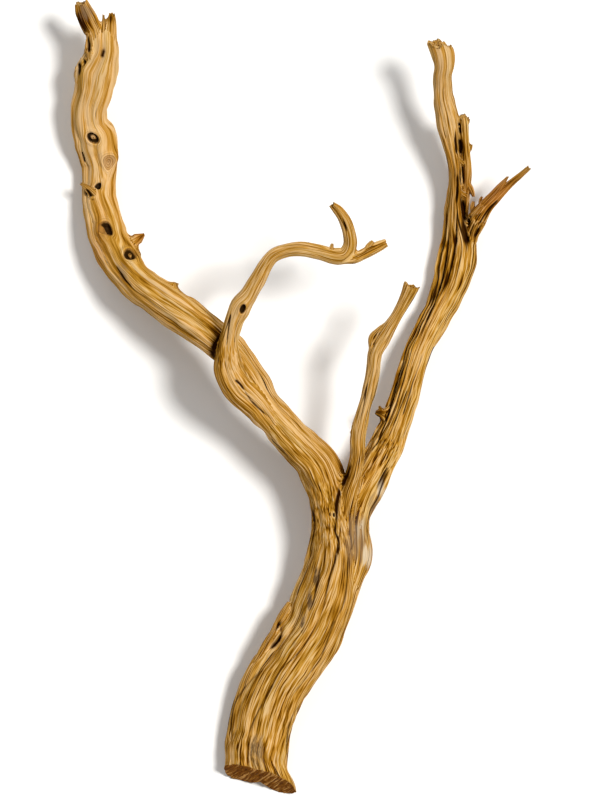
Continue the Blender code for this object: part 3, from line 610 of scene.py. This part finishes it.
# Loops that close an end from its rim to its middle. A broken end carries its grain inwards, and a sawn
# one has the torn fibres of the saw running slantwise over it.
def closeEnd(rim, rimGrain, inward, hollow, loops, roughness, seed, sawn=False):
    middle, middleGrain = rim.mean(axis=0), rimGrain.mean(axis=0)
    made = []
    for k in range(loops):
        t = (k + 0.05) / (loops + 0.5)
        ring = middle + (rim - middle) * (1 - t)
        grain = middleGrain + (rimGrain - middleGrain) * (1 - t)
        if sawn:
            x, z, slant = ring[:, 0], ring[:, 2], form["sawSlant"]
            grain = np.stack([x - slant * z, 0.1 * z, slant * x + z], axis=1)
            rough = -np.abs(latticeNoise(grain / (2, 4, 14), seed)) * roughness * 2
        else:
            rough = latticeNoise(grain / (1.6, 1.6, 9), seed) * roughness
        sunk = hollow * smoothStep(0, 0.5, t) + rough * min(1, 5 * t)
        made.append((ring + sunk[:, None] * inward, grain))
    return made


def limbObject(limb, number):
    skin, forward, wearAndShade = growLimb(limb)
    isTrunk = limb is trunkAndLeftLimb
    sides = limb["sides"]
    startLoops, tearDepth = (form["sawnLoops"], form["sawTearDepth"]) if isTrunk else (form["rootLoops"], 0.0)
    endLoops = 8 if sides > 40 else 5
    start = closeEnd(skin[0], wearAndShade["grain"][0], forward[0], 0.0, startLoops, tearDepth, 31, isTrunk)
    hollow = -(0.8 + 0.5 * limb["ragged"])
    end = closeEnd(skin[-1], wearAndShade["grain"][-1], forward[-1], hollow, endLoops, 0.5 * limb["ragged"], 32)
    loops = [ring for ring, _ in start[::-1]] + list(skin) + [ring for ring, _ in end]
    grains = [grain for _, grain in start[::-1]] + list(wearAndShade["grain"]) + [grain for _, grain in end]
    flat = np.ones(sides)

    def capped(atStart, kept, atEnd):
        rows = [atStart * flat] * len(start) + list(kept) + [atEnd * flat] * len(end)
        return np.concatenate(rows + [[atStart], [atEnd]])

    total = len(loops)
    points = np.vstack(loops + [loops[0].mean(axis=0), loops[-1].mean(axis=0)])
    quads = []
    side = np.arange(sides)
    after = (side + 1) % sides
    for i in range(total - 1):
        low, high = i * sides, (i + 1) * sides
        quads.append(np.column_stack([low + side, high + side, high + after, low + after]))
    quads = np.vstack(quads).tolist()
    first, last, top = len(points) - 2, len(points) - 1, (total - 1) * sides
    quads += [(first, j, k) for j, k in zip(side.tolist(), after.tolist())]
    quads += [(last, top + k, top + j) for j, k in zip(side.tolist(), after.tolist())]
    mesh = bpy.data.meshes.new(limb["seed"])
    mesh.from_pydata(points.tolist(), [], quads)
    grains += [grains[0].mean(axis=0), grains[-1].mean(axis=0)]
    setCorners(mesh, "grainSpace", np.vstack(grains))
    cutEnd = capped(1.0 * isTrunk, 0 * wearAndShade["knot"], 0.0)
    setCorners(mesh, "weathered", capped(1.0, wearAndShade["roughness"], 1.0))
    # Painted shade in the knot hollows; the sunk broken end is also darkened a little.
    worn = [capped(0.0, wearAndShade["shade"], 0.35), capped(3.0, wearAndShade["knot"], 3.0), cutEnd]
    setCorners(mesh, "shadeKnotAndEnd", np.column_stack(worn))
    partings = [capped(9.0, wearAndShade["parting"][:, :, k], 9.0) for k in range(3)]
    setCorners(mesh, "parting", np.column_stack(partings))
    setCorners(mesh, "relief", capped(0.0, wearAndShade["relief"], 0.0))
    setCorners(mesh, "limbNumber", np.full(len(points), float(number)))
    return bpy.data.objects.new(limb["seed"], mesh)


# Stores a value on every point, or in another domain.
def setPoints(mesh, name, values, domain="POINT"):
    isVector = values.ndim == 2
    attribute = mesh.attributes.new(name, "FLOAT_VECTOR" if isVector else "FLOAT", domain)
    attribute.data.foreach_set("vector" if isVector else "value", values.astype(np.float32).ravel())


# Stores each point's value on its face corners, so that it is carried through the union unmixed.
def setCorners(mesh, name, values):
    setPoints(mesh, name, values[readArray(mesh.loops, "vertex_index", kind=np.int32)], "CORNER")


def readArray(items, name, width=1, kind=np.float32):
    values = np.empty(len(items) * width, kind)
    items.foreach_get(name, values)
    values = values.astype(float if kind is np.float32 else int)
    return values.reshape(-1, width) if width > 1 else values


def pointsOf(mesh):
    return readArray(mesh.vertices, "co", 3)


# The mean over each point's face corners.
def cornersToPoints(mesh, name):
    corners = readArray(mesh.loops, "vertex_index", kind=np.int32)
    values = readArray(mesh.attributes[name].data, "value")
    count = np.bincount(corners, minlength=len(mesh.vertices))
    return np.bincount(corners, values, len(mesh.vertices)) / np.maximum(count, 1)


def movePoints(mesh, points):
    mesh.vertices.foreach_set("co", points.astype(np.float32).ravel())
    mesh.update()


def fuse(body, limbs):
    helpers = bpy.data.collections.new("limbs")
    bpy.context.scene.collection.children.link(helpers)
    for limb in limbs:
        helpers.objects.link(limb)
    union = body.modifiers.new("fuse", "BOOLEAN")
    union.operation = "UNION"
    union.operand_type = "COLLECTION"
    union.collection = helpers
    union.solver = "MANIFOLD"
    bpy.context.view_layer.update()
    fused = bpy.data.meshes.new_from_object(body.evaluated_get(bpy.context.evaluated_depsgraph_get()))
    body.modifiers.remove(union)
    body.data = fused
    for limb in limbs:
        bpy.data.objects.remove(limb)
    bpy.data.collections.remove(helpers)


# How near each point is to a joint between two limbs, from 0 beyond the later limb's reach to 1 at the joint.
def nearJoints(mesh, reaches):
    points = pointsOf(mesh)
    ends = readArray(mesh.edges, "vertices", 2, np.int32)
    cornerEdges = readArray(mesh.loops, "edge_index", kind=np.int32)
    numbers = np.rint(readArray(mesh.attributes["limbNumber"].data, "value"))
    low, high = np.full(len(ends), 999.0), np.full(len(ends), -1.0)
    np.minimum.at(low, cornerEdges, numbers)
    np.maximum.at(high, cornerEdges, numbers)
    nearness = np.zeros(len(points))
    for number, reach in enumerate(reaches):
        joint = points[np.unique(ends[(high == number) & (low < number)])]
        if reach == 0 or len(joint) == 0:
            continue
        inside = (points > joint.min(axis=0) - reach) & (points < joint.max(axis=0) + reach)
        near = np.flatnonzero(inside.all(axis=1))
        for part in np.array_split(near, 1 + len(near) // 2000):
            gap = np.sqrt(((points[part, None, :] - joint[None, :, :]) ** 2).sum(axis=2).min(axis=1))
            share = smoothStep(1.0, 0.3, gap / reach) * min(1.0, reach / form["widestJoint"])
            nearness[part] = np.maximum(nearness[part], share)
    return nearness


# Evens out the points, each by its share, so that limbs flow into each other where they meet.
def soften(mesh, share, rounds):
    points = pointsOf(mesh)
    ends = readArray(mesh.edges, "vertices", 2, np.int32)
    ends = ends[(share[ends] > 0).any(axis=1)]
    low, high = ends.T
    count = np.maximum(np.bincount(low, minlength=len(points)) + np.bincount(high, minlength=len(points)), 1)
    for _ in range(rounds):
        for axis in range(3):
            value = points[:, axis]
            total = np.bincount(low, value[high], len(points)) + np.bincount(high, value[low], len(points))
            value += 0.6 * share * (total / count - value)
    movePoints(mesh, points)


# Raises and sinks the weathered relief along the normals, more gently beside a joint.
def raiseRelief(mesh, nearness):
    points = pointsOf(mesh)
    normals = readArray(mesh.vertex_normals, "vector", 3)
    movePoints(mesh, points + (cornersToPoints(mesh, "relief") * (1 - 0.7 * nearness))[:, None] * normals)


# Carves the grooves that are drawn from above, and returns how much painted shade each point gets in one.
def carveGrooves(mesh, limbNames):
    points = pointsOf(mesh)
    normals = readArray(mesh.vertex_normals, "vector", 3)
    numbers = np.rint(cornersToPoints(mesh, "limbNumber"))
    depth, shade = np.zeros(len(points)), np.zeros(len(points))
    for names, group in grooves.items():
        own = np.isin(numbers, [limbNames.index(name) for name in names.split()])
        for groove in group:
            line = smoothCurve(groove["points"], 8)
            reach = 4 * groove["halfWidth"] + 2
            inside = own & (points[:, :2] > line.min(axis=0) - reach).all(axis=1)
            inside = np.flatnonzero(inside & (points[:, :2] < line.max(axis=0) + reach).all(axis=1))
            gap, share = distanceToLine(points[inside, :2], line)
            gap = gap + 0.35 * groove["halfWidth"] * latticeNoise(points[inside] / 5, 8)
            isHole = np.hypot(*(line[-1] - line[0])) < 3 * groove["halfWidth"]
            opening = 1.0 if isHole else np.clip(5 * share * (1 - share), 0, 1) ** 0.5
            opening = opening * smoothStep(-0.1, 0.35, normals[inside, 2])
            halfWidth = groove["halfWidth"] * (0.4 + 0.6 * opening)
            cut = np.exp(-(gap / halfWidth) ** 2) * opening
            depth[inside] = np.maximum(depth[inside], groove["depth"] * cut)
            # Painted shade, the darker the deeper the groove.
            shade[inside] = np.maximum(shade[inside], cut * min(1.0, 0.3 + groove["depth"] / 3.2))
    movePoints(mesh, points - depth[:, None] * (0.4 * normals + (0, 0, 0.6)))
    return shade


# Lays the wood on the surface, and takes it to its place in the solid's box, which it doesn't leave.
def settle(mesh):
    points = pointsOf(mesh)
    points[:, 2] = np.maximum(points[:, 2] - form["wornAwayBelow"], 0)
    low, high = woodLow * 1000 + 0.01, woodHigh * 1000 - 0.01
    shift = np.append((low + high)[:2] / 2 - form["middleOfSolid"], low[2] - 0.01)
    points += shift
    outside = np.maximum(low - points.min(axis=0), points.max(axis=0) - high)
    print("the wood reached past the solid by", outside.round(2), "mm")
    movePoints(mesh, np.clip(points, low, high) / 1000)
    return shift


# Merges points that lie all but together, drops faces without area, and takes away the few folded faces
# that hang on the skin by one edge.
def cleanMesh(mesh):
    work = bmesh.new()
    work.from_mesh(mesh)
    bmesh.ops.remove_doubles(work, verts=work.verts, dist=form["closestPoints"])
    bmesh.ops.dissolve_degenerate(work, edges=work.edges, dist=form["closestPoints"])
    bmesh.ops.triangulate(work, faces=work.faces)
    visited, crumbs = set(), []
    for start in work.faces:
        if start in visited:
            continue
        visited.add(start)
        island, front = [start], [start]
        while front:
            for edge in front.pop().edges:
                for face in edge.link_faces:
                    if edge.is_manifold and face not in visited:
                        visited.add(face)
                        island.append(face)
                        front.append(face)
        if len(island) < form["fewestFaces"]:
            crumbs += island
    bmesh.ops.delete(work, geom=crumbs, context="FACES")
    work.to_mesh(mesh)
    work.free()
    print("mesh cleaned,", len(crumbs), "stray faces taken away")


# How strong each patch of one kind of weather is at every point.
def patchStrengths(points, kind):
    x, y, reachAcross, reachUp, strength = np.array(weatherAndPaintedLight[kind]).T[:, :, None]
    gap = ((points[:, 0] - x) / reachAcross) ** 2 + ((points[:, 1] - y) / reachUp) ** 2
    return strength * np.exp(-gap)


def storePatches(mesh):
    points = pointsOf(mesh)
    masks = [patchStrengths(points, kind).max(axis=0) for kind in ("grey", "bleachedAndHighlit", "pitted")]
    setPoints(mesh, "weatherAndPaintedLight", np.column_stack(masks))
    setPoints(mesh, "reddish", patchStrengths(points, "reddish").max(axis=0))
    # Lighter and darker tone, with the painted shade of the dark patches.
    setPoints(mesh, "toneAndPaintedShade", patchStrengths(points, "tone").sum(axis=0))


# Links or sets each input of a node that is given.
def fillInputs(tree, node, inputs):
    for name, value in inputs.items():
        if isinstance(value, bpy.types.NodeSocket):
            tree.links.new(value, node.inputs[name])
        else:
            node.inputs[name].default_value = value


def addNode(tree, kind, settings, inputs):
    node = tree.nodes.new("ShaderNode" + kind)
    for name, value in settings.items():
        setattr(node, name, value)
    fillInputs(tree, node, inputs)
    return node


def calc(tree, operation, *values):
    return addNode(tree, "Math", {"operation": operation}, dict(enumerate(values))).outputs[0]


def noise(tree, vector, detail=1.0, roughness=0.5):
    settings = {"Vector": vector, "Scale": 1.0, "Detail": detail, "Roughness": roughness}
    return addNode(tree, "TexNoise", {}, settings).outputs["Fac"]


def span(tree, value, fromLow, fromHigh, toLow=0.0, toHigh=1.0):
    limits = {"Value": value, "From Min": fromLow, "From Max": fromHigh, "To Min": toLow, "To Max": toHigh}
    return addNode(tree, "MapRange", {"interpolation_type": "SMOOTHSTEP"}, limits).outputs[0]


def mixColours(tree, share, first, second, blend="MIX"):
    node = addNode(tree, "Mix", {"data_type": "RGBA", "blend_type": blend}, {0: share, 6: first, 7: second})
    return node.outputs[2]


def colourRamp(tree, value, stops):
    ramp = addNode(tree, "ValToRGB", {}, {"Fac": value})
    while len(ramp.color_ramp.elements) < len(stops):
        ramp.color_ramp.elements.new(0.5)
    for element, (place, colour) in zip(ramp.color_ramp.elements, stops):
        element.position = place
        element.color = colour
    return ramp.outputs["Color"]


# A colour given as it looks on a screen, from 0 to 255.
def screenColour(red, green, blue):
    return tuple((value / 255) ** 2.2 for value in (red, green, blue)) + (1.0,)


def newGroup(name, inputs, outputs):
    tree = bpy.data.node_groups.new(name, "ShaderNodeTree")
    for label, kind in inputs.items():
        tree.interface.new_socket(label, in_out="INPUT", socket_type="NodeSocket" + kind)
    for label, kind in outputs.items():
        tree.interface.new_socket(label, in_out="OUTPUT", socket_type="NodeSocket" + kind)
    return tree, tree.nodes.new("NodeGroupInput").outputs, tree.nodes.new("NodeGroupOutput").inputs


def placeGroup(tree, group, grain, values):
    node = tree.nodes.new("ShaderNodeGroup")
    node.node_tree = group
    fillInputs(tree, node, {"Grain": grain, **values})
    return node.outputs[0]


# Grain space squeezed so that one unit is a fibre's width across and its length along.
def fibreSpace(tree, grain, width, length):
    size = addNode(tree, "CombineXYZ", {}, {"X": width, "Y": width, "Z": length}).outputs[0]
    return addNode(tree, "VectorMath", {"operation": "DIVIDE"}, {0: grain, 1: size}).outputs[0]


# Growth layers laid bare by the weather: the level lines of a slow noise, which close round each other.
def growthLayerGroup():
    sockets = {"Grain": "Vector", "Width": "Float", "Length": "Float", "Layers": "Float"}
    tree, given, wanted = newGroup("growthLayers", sockets, {"Tone": "Float"})
    slow = noise(tree, fibreSpace(tree, given["Grain"], given["Width"], given["Length"]), 1.5, 0.35)
    turns = calc(tree, "MULTIPLY", calc(tree, "MULTIPLY", slow, given["Layers"]), 2 * math.pi)
    wave = calc(tree, "SINE", turns)
    tree.links.new(span(tree, wave, -0.8, 0.8), wanted["Tone"])
    return tree


# Thin lines along the fibres, where the noise crosses its middle.
def fibreLineGroup():
    sockets = {"Grain": "Vector", "Width": "Float", "Length": "Float", "Thinness": "Float"}
    tree, given, wanted = newGroup("fibreLines", sockets, {"Lines": "Float"})
    value = noise(tree, fibreSpace(tree, given["Grain"], given["Width"], given["Length"]), 1.0)
    away = calc(tree, "ABSOLUTE", calc(tree, "SUBTRACT", value, 0.5))
    core = calc(tree, "SUBTRACT", 1.0, calc(tree, "MULTIPLY", away, given["Thinness"]))
    tree.links.new(span(tree, core, 0.0, 0.75), wanted["Lines"])
    return tree


# A patch broken up along the fibres: a stain, and for the bleached patches partly a painted highlight.
def stainGroup():
    sockets = {"Grain": "Vector", "Patch": "Float", "Width": "Float", "Length": "Float"}
    tree, given, wanted = newGroup("weatherStain", sockets, {"Stain": "Float"})
    streaks = noise(tree, fibreSpace(tree, given["Grain"], given["Width"], given["Length"]), 3.0, 0.6)
    reach = calc(tree, "MULTIPLY_ADD", given["Patch"], 0.62, calc(tree, "SUBTRACT", streaks, 0.86))
    tree.links.new(span(tree, reach, 0.0, 0.28), wanted["Stain"])
    return tree


# Widths across the fibres and lengths along them are in millimetres, and a plain streak is (width, length,
# detail, roughness). A streak's shares say how much it counts in the tone on smooth wood and on rough wood,
# and a dark line's share how much it darkens.
woodFinish = {
    "tones": (
        (0.0, screenColour(54, 27, 2)), (0.18, screenColour(102, 62, 6)), (0.36, screenColour(141, 97, 25)),
        (0.54, screenColour(170, 122, 48)), (0.74, screenColour(190, 143, 73)),
        (1.0, screenColour(212, 176, 128)),
    ),
    "meanTone": 0.76, "roughTone": 0.12,
    "tints": ((0.36, (0.98, 1.0, 0.92, 1.0)), (0.5, (1.0, 1.0, 1.0, 1.0)), (0.66, (1.0, 0.97, 0.92, 1.0))),
    "roughTint": (1.0, 0.97, 0.8, 1.0), "reddishTint": (0.9, 0.64, 0.5, 1.0),
    # The bleached colour is bleached wood and also the painted highlights.
    "greyWeather": screenColour(130, 107, 82), "bleachedWoodAndHighlight": screenColour(206, 190, 164),
    # The brown of cracks and pits, which also paints the shade in grooves, and the black of the painted shade
    # in knot hollows.
    "crackBrown": screenColour(46, 24, 2), "knotBlack": screenColour(26, 14, 4),
    "knotRing": screenColour(118, 80, 40), "knotDisc": screenColour(148, 106, 58), "ringsInKnot": 3.2,
    "endTones": (
        (0.0, screenColour(58, 27, 3)), (0.3, screenColour(112, 64, 18)), (0.6, screenColour(154, 100, 40)),
        (0.9, screenColour(200, 146, 82)),
    ),
    "wobble": (2.6, 14), "wobbleReach": (0.8, 0.8, 3.0),
    "drift": (12, 60, 2.0, 0.5), "fine": (0.95, 90, 2.0, 0.75), "hairs": (0.85, 20, 1.0, 0.7),
    "fading": (4, 50, 1.0, 0.5), "breaking": (6, 40, 1.0, 0.5), "tinting": (6, 90, 1.0, 0.5),
    "bands": {"Width": 26, "Length": 300, "Layers": 7},
    "narrowBands": {"Width": 10, "Length": 190, "Layers": 5},
    "lines": {"Width": 3.4, "Length": 280, "Thinness": 12},
    "threads": {"Width": 1.9, "Length": 160, "Thinness": 6},
    "checks": {"Width": 3.4, "Length": 150, "Thinness": 9},
    "endLines": {"Width": 2.5, "Length": 90, "Thinness": 6},
    "greyStain": {"Width": 2.2, "Length": 26}, "paleStainAndHighlight": {"Width": 1.7, "Length": 60},
    "pits": {"Width": 1.2, "Length": 6},
    "streakShares": {"bands": (0.42, 0.12), "narrowBands": (0.22, 0.05), "drift": (0.5, 0.15),
                     "fine": (1.1, 2.0), "hairs": (0.5, 2.0)},
    "darkShares": {"valley": 0.2, "furrow": 0.2, "lines": 0.26, "threads": 0.1, "checks": 0.3},
    "stainShares": {"greyWeather": 0.6, "bleachedWoodAndHighlight": 0.7, "pits": 0.6, "knotDisc": 0.55, "crack": 0.95},
    "bumpDepth": 0.0006, "bumpStrength": 0.8, "shine": 0.01,
}


def woodMaterial(layers, fibres, stains):
    material = bpy.data.materials.new("bareWeatheredWood")
    material.use_nodes = True
    tree = material.node_tree
    shader = tree.nodes["Principled BSDF"]

    def stored(name, output):
        return addNode(tree, "Attribute", {"attribute_name": name}, {}).outputs[output]

    def storedParts(name):
        return addNode(tree, "SeparateXYZ", {}, {0: stored(name, "Vector")}).outputs

    def streak(name):
        width, length, detail, roughness = woodFinish[name]
        return noise(tree, fibreSpace(tree, grain, width, length), detail, roughness)

    def group(kind, name):
        return placeGroup(tree, kind, grain, woodFinish[name])

    def stain(patch, name):
        return placeGroup(tree, stains, grain, {"Patch": patch, **woodFinish[name]})

    def near(value, reach):
        return span(tree, calc(tree, "ABSOLUTE", value), reach, 0.0)

    def times(first, second):
        return calc(tree, "MULTIPLY", first, second)

    # The fibres wobble a little, so that no streak is drawn with a ruler.
    grain = stored("grainSpace", "Vector")
    wearAndShade, parting, patches = storedParts("shadeKnotAndEnd"), storedParts("parting"), storedParts("weatherAndPaintedLight")
    space = fibreSpace(tree, grain, *woodFinish["wobble"])
    wobble = addNode(tree, "TexNoise", {}, {"Vector": space, "Scale": 1.0, "Detail": 1.0})
    wobble = addNode(tree, "VectorMath", {"operation": "SUBTRACT"},
                     {0: wobble.outputs["Color"], 1: (0.5, 0.5, 0.5)})
    grain = addNode(tree, "VectorMath", {"operation": "MULTIPLY_ADD"},
                    {0: wobble.outputs[0], 1: woodFinish["wobbleReach"], 2: grain}).outputs[0]

    # Streaks and dark lines add up to a tone, and the tone picks the colour.
    weathered = stored("weathered", "Fac")
    streaks = {
        "bands": group(layers, "bands"), "narrowBands": group(layers, "narrowBands"),
        "drift": streak("drift"), "fine": streak("fine"), "hairs": streak("hairs"),
    }
    lineStrength = calc(tree, "MULTIPLY_ADD", weathered, 0.75, 0.1)
    faded = span(tree, streak("fading"), 0.3, 0.6, 0.15, 1.0)
    broken = span(tree, streak("breaking"), 0.5, 0.56)
    darkLines = {
        "valley": times(near(parting["X"], 0.11), weathered),
        "furrow": times(near(parting["Y"], 0.2), weathered),
        "lines": times(times(group(fibres, "lines"), faded), lineStrength),
        "threads": times(group(fibres, "threads"), lineStrength),
        "checks": times(times(group(fibres, "checks"), broken), weathered),
    }
    rough = span(tree, weathered, 0.15, 0.55)
    # The tone starts from the roughness and the tone patches, whose dark ones are partly painted shade.
    tone = calc(tree, "MULTIPLY_ADD", weathered, woodFinish["roughTone"], stored("toneAndPaintedShade", "Fac"))
    for name, (onSmooth, onRough) in woodFinish["streakShares"].items():
        share = calc(tree, "MULTIPLY_ADD", rough, onRough - onSmooth, onSmooth)
        tone = calc(tree, "MULTIPLY_ADD", calc(tree, "SUBTRACT", streaks[name], 0.5), share, tone)
    for name, share in woodFinish["darkShares"].items():
        tone = calc(tree, "MULTIPLY_ADD", darkLines[name], -share, tone)
    colour = colourRamp(tree, calc(tree, "ADD", tone, woodFinish["meanTone"]), woodFinish["tones"])
    tints = colourRamp(tree, streak("tinting"), woodFinish["tints"])
    colour = mixColours(tree, 1.0, colour, tints, "MULTIPLY")
    colour = mixColours(tree, weathered, colour, woodFinish["roughTint"], "MULTIPLY")
    reddish = times(stored("reddish", "Fac"), 0.8)
    colour = mixColours(tree, reddish, colour, woodFinish["reddishTint"], "MULTIPLY")

    # Grey, bleached and pitted stains, then knots, cracks, and the painted shade in grooves, holes and knot
    # hollows lie over it. The bleached stains are partly painted highlights.
    grey, paleAndHighlight, pits = (stain(patches[axis], name) for axis, name in
                        (("X", "greyStain"), ("Y", "paleStainAndHighlight"), ("Z", "pits")))
    shares = woodFinish["stainShares"]
    nearKnot = times(span(tree, wearAndShade["Y"], 2.0, 0.8), 0.6)
    rings = calc(tree, "SINE", times(wearAndShade["Y"], 2 * math.pi * woodFinish["ringsInKnot"]))
    crack = span(tree, parting["Z"], 0.075, 0.02)
    for share, name in (
            (times(grey, shares["greyWeather"]), "greyWeather"),
            # Bleached wood, partly painted highlights.
            (times(paleAndHighlight, shares["bleachedWoodAndHighlight"]), "bleachedWoodAndHighlight"),
            (times(pits, shares["pits"]), "crackBrown"),
            (times(span(tree, wearAndShade["Y"], 1.12, 0.95), shares["knotDisc"]), "knotDisc"),
            (times(span(tree, rings, 0.0, 1.0), nearKnot), "knotRing"),
            (times(crack, shares["crack"]), "crackBrown"),
            # Painted shade in the carved grooves, crevices and holes.
            (span(tree, stored("grooveShade", "Fac"), 0.15, 0.8), "crackBrown"),
            # Painted shade inside the knot hollows, and a little on the broken ends.
            (span(tree, wearAndShade["X"], 0.2, 0.9, 0.0, 0.94), "knotBlack")):
        colour = mixColours(tree, share, colour, woodFinish[name])

    # The sawn foot shows torn end grain.
    fine, hairs = streaks["fine"], streaks["hairs"]
    endTone = calc(tree, "MULTIPLY_ADD", group(fibres, "endLines"), -0.55, 0.92)
    endTone = calc(tree, "MULTIPLY_ADD", calc(tree, "SUBTRACT", fine, 0.5), 1.2, endTone)
    colour = mixColours(tree, wearAndShade["Z"], colour, colourRamp(tree, endTone, woodFinish["endTones"]))

    sheen = calc(tree, "MULTIPLY_ADD", fine, 0.3, calc(tree, "MULTIPLY_ADD", paleAndHighlight, -0.12, 0.5))
    height = calc(tree, "MULTIPLY_ADD", fine, 2.4, hairs)
    lows = calc(tree, "ADD", darkLines["checks"], pits)
    lows = calc(tree, "ADD", calc(tree, "MULTIPLY_ADD", darkLines["furrow"], 0.5, lows), crack)
    lows = calc(tree, "MULTIPLY_ADD", darkLines["lines"], 0.6, lows)
    height = calc(tree, "SUBTRACT", height, lows)
    strength = woodFinish["bumpStrength"]
    bump = addNode(tree, "Bump", {},
                   {"Strength": strength, "Distance": woodFinish["bumpDepth"], "Height": height})
    shader.inputs["Specular IOR Level"].default_value = woodFinish["shine"]
    tree.links.new(colour, shader.inputs["Base Color"])
    tree.links.new(sheen, shader.inputs["Roughness"])
    tree.links.new(bump.outputs["Normal"], shader.inputs["Normal"])
    return material


def plainMaterial(name, colour, roughness):
    material = bpy.data.materials.new(name)
    material.use_nodes = True
    shader = material.node_tree.nodes["Principled BSDF"]
    shader.inputs["Base Color"].default_value = colour
    shader.inputs["Roughness"].default_value = roughness
    return material


studio = {
    "floorSize": 12.0, "floorColour": (0.9, 0.9, 0.89, 1.0), "ambient": 0.34,
    "key": {"from": (0.6, 0.22, 1.2), "strength": 3.3, "softness": 14.0, "colour": (1.0, 0.98, 0.95)},
    "fill": {"from": (-0.5, 0.9, 1.2), "strength": 0.5, "softness": 40.0, "colour": (0.97, 0.98, 1.0)},
    "cameraHeight": 10.0, "fieldLength": 0.6, "middleHeight": 0.045, "sensor": 36.0,
}


def aimedSun(name, light):
    sun = bpy.data.lights.new(name, "SUN")
    sun.energy = light["strength"]
    sun.angle = math.radians(light["softness"])
    sun.color = light["colour"]
    holder = bpy.data.objects.new(name, sun)
    holder.rotation_euler = Vector(light["from"]).to_track_quat("Z", "Y").to_euler()
    bpy.context.scene.collection.objects.link(holder)


# The camera looks straight down from far off, and the middle of its picture is the middle of the ring tables.
def setUpStudio(middle):
    scene = bpy.context.scene
    half = studio["floorSize"] / 2
    mesh = bpy.data.meshes.new("paleFloor")
    corners = [(-half, -half, 0), (half, -half, 0), (half, half, 0), (-half, half, 0)]
    mesh.from_pydata(corners, [], [(0, 1, 2, 3)])
    mesh.materials.append(plainMaterial("paleFloor", studio["floorColour"], 0.9))
    floor = bpy.data.objects.new("paleFloor", mesh)
    scene.collection.objects.link(floor)
    aimedSun("keyLight", studio["key"])
    aimedSun("fillLight", studio["fill"])
    world = bpy.data.worlds.new("studioAir")
    world.use_nodes = True
    air = world.node_tree.nodes["Background"]
    air.inputs["Color"].default_value = (1, 1, 1, 1)
    air.inputs["Strength"].default_value = studio["ambient"]
    scene.world = world
    scene.view_settings.view_transform = "Standard"
    camera = bpy.data.objects.new("camera", bpy.data.cameras.new("camera"))
    camera.location = (middle[0], middle[1], studio["cameraHeight"])
    camera.data.sensor_width = studio["sensor"]
    reach = studio["cameraHeight"] - studio["middleHeight"]
    camera.data.lens = studio["sensor"] * reach / studio["fieldLength"]
    scene.collection.objects.link(camera)
    scene.camera = camera


limbs = [trunkAndLeftLimb, rightLimb, raggedStrand, curledTwig, twigFork, middleBranch, splinteredSpur,
         brokenHorn, topSplinter]
for name, (joint, rings) in shortStubs.items():
    limbs.append({**stubSkin, "seed": name, "joint": joint, "rings": rings})
grown = [limbObject(limb, number) for number, limb in enumerate(limbs)]
body = grown[0]
body.name = "driftwoodSurface"
bpy.context.scene.collection.objects.link(body)
print("limbs grown:", len(grown), "with", sum(len(limb.data.polygons) for limb in grown), "faces")

fuse(body, grown[1:])
wood = body.data
nearness = nearJoints(wood, [limb["joint"] for limb in limbs])
soften(wood, nearness, form["smoothingRounds"])
raiseRelief(wood, nearness)
setPoints(wood, "grooveShade", carveGrooves(wood, [limb["seed"] for limb in limbs]))
storePatches(wood)
print("limbs fused, weathered and carved")

shift = settle(wood)
cleanMesh(wood)
wood.shade_smooth()
for name in ("relief", "limbNumber"):
    wood.attributes.remove(wood.attributes[name])
print("the wood has", len(wood.vertices), "points and", len(wood.polygons), "triangles")

wood.materials.clear()
wood.materials.append(woodMaterial(growthLayerGroup(), fibreLineGroup(), stainGroup()))
wood.polygons.foreach_set("material_index", np.zeros(len(wood.polygons), np.int32))
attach(body, "root")
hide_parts("driftwood")
print("wood finished")

setUpStudio(shift / 1000)
print("studio set up")
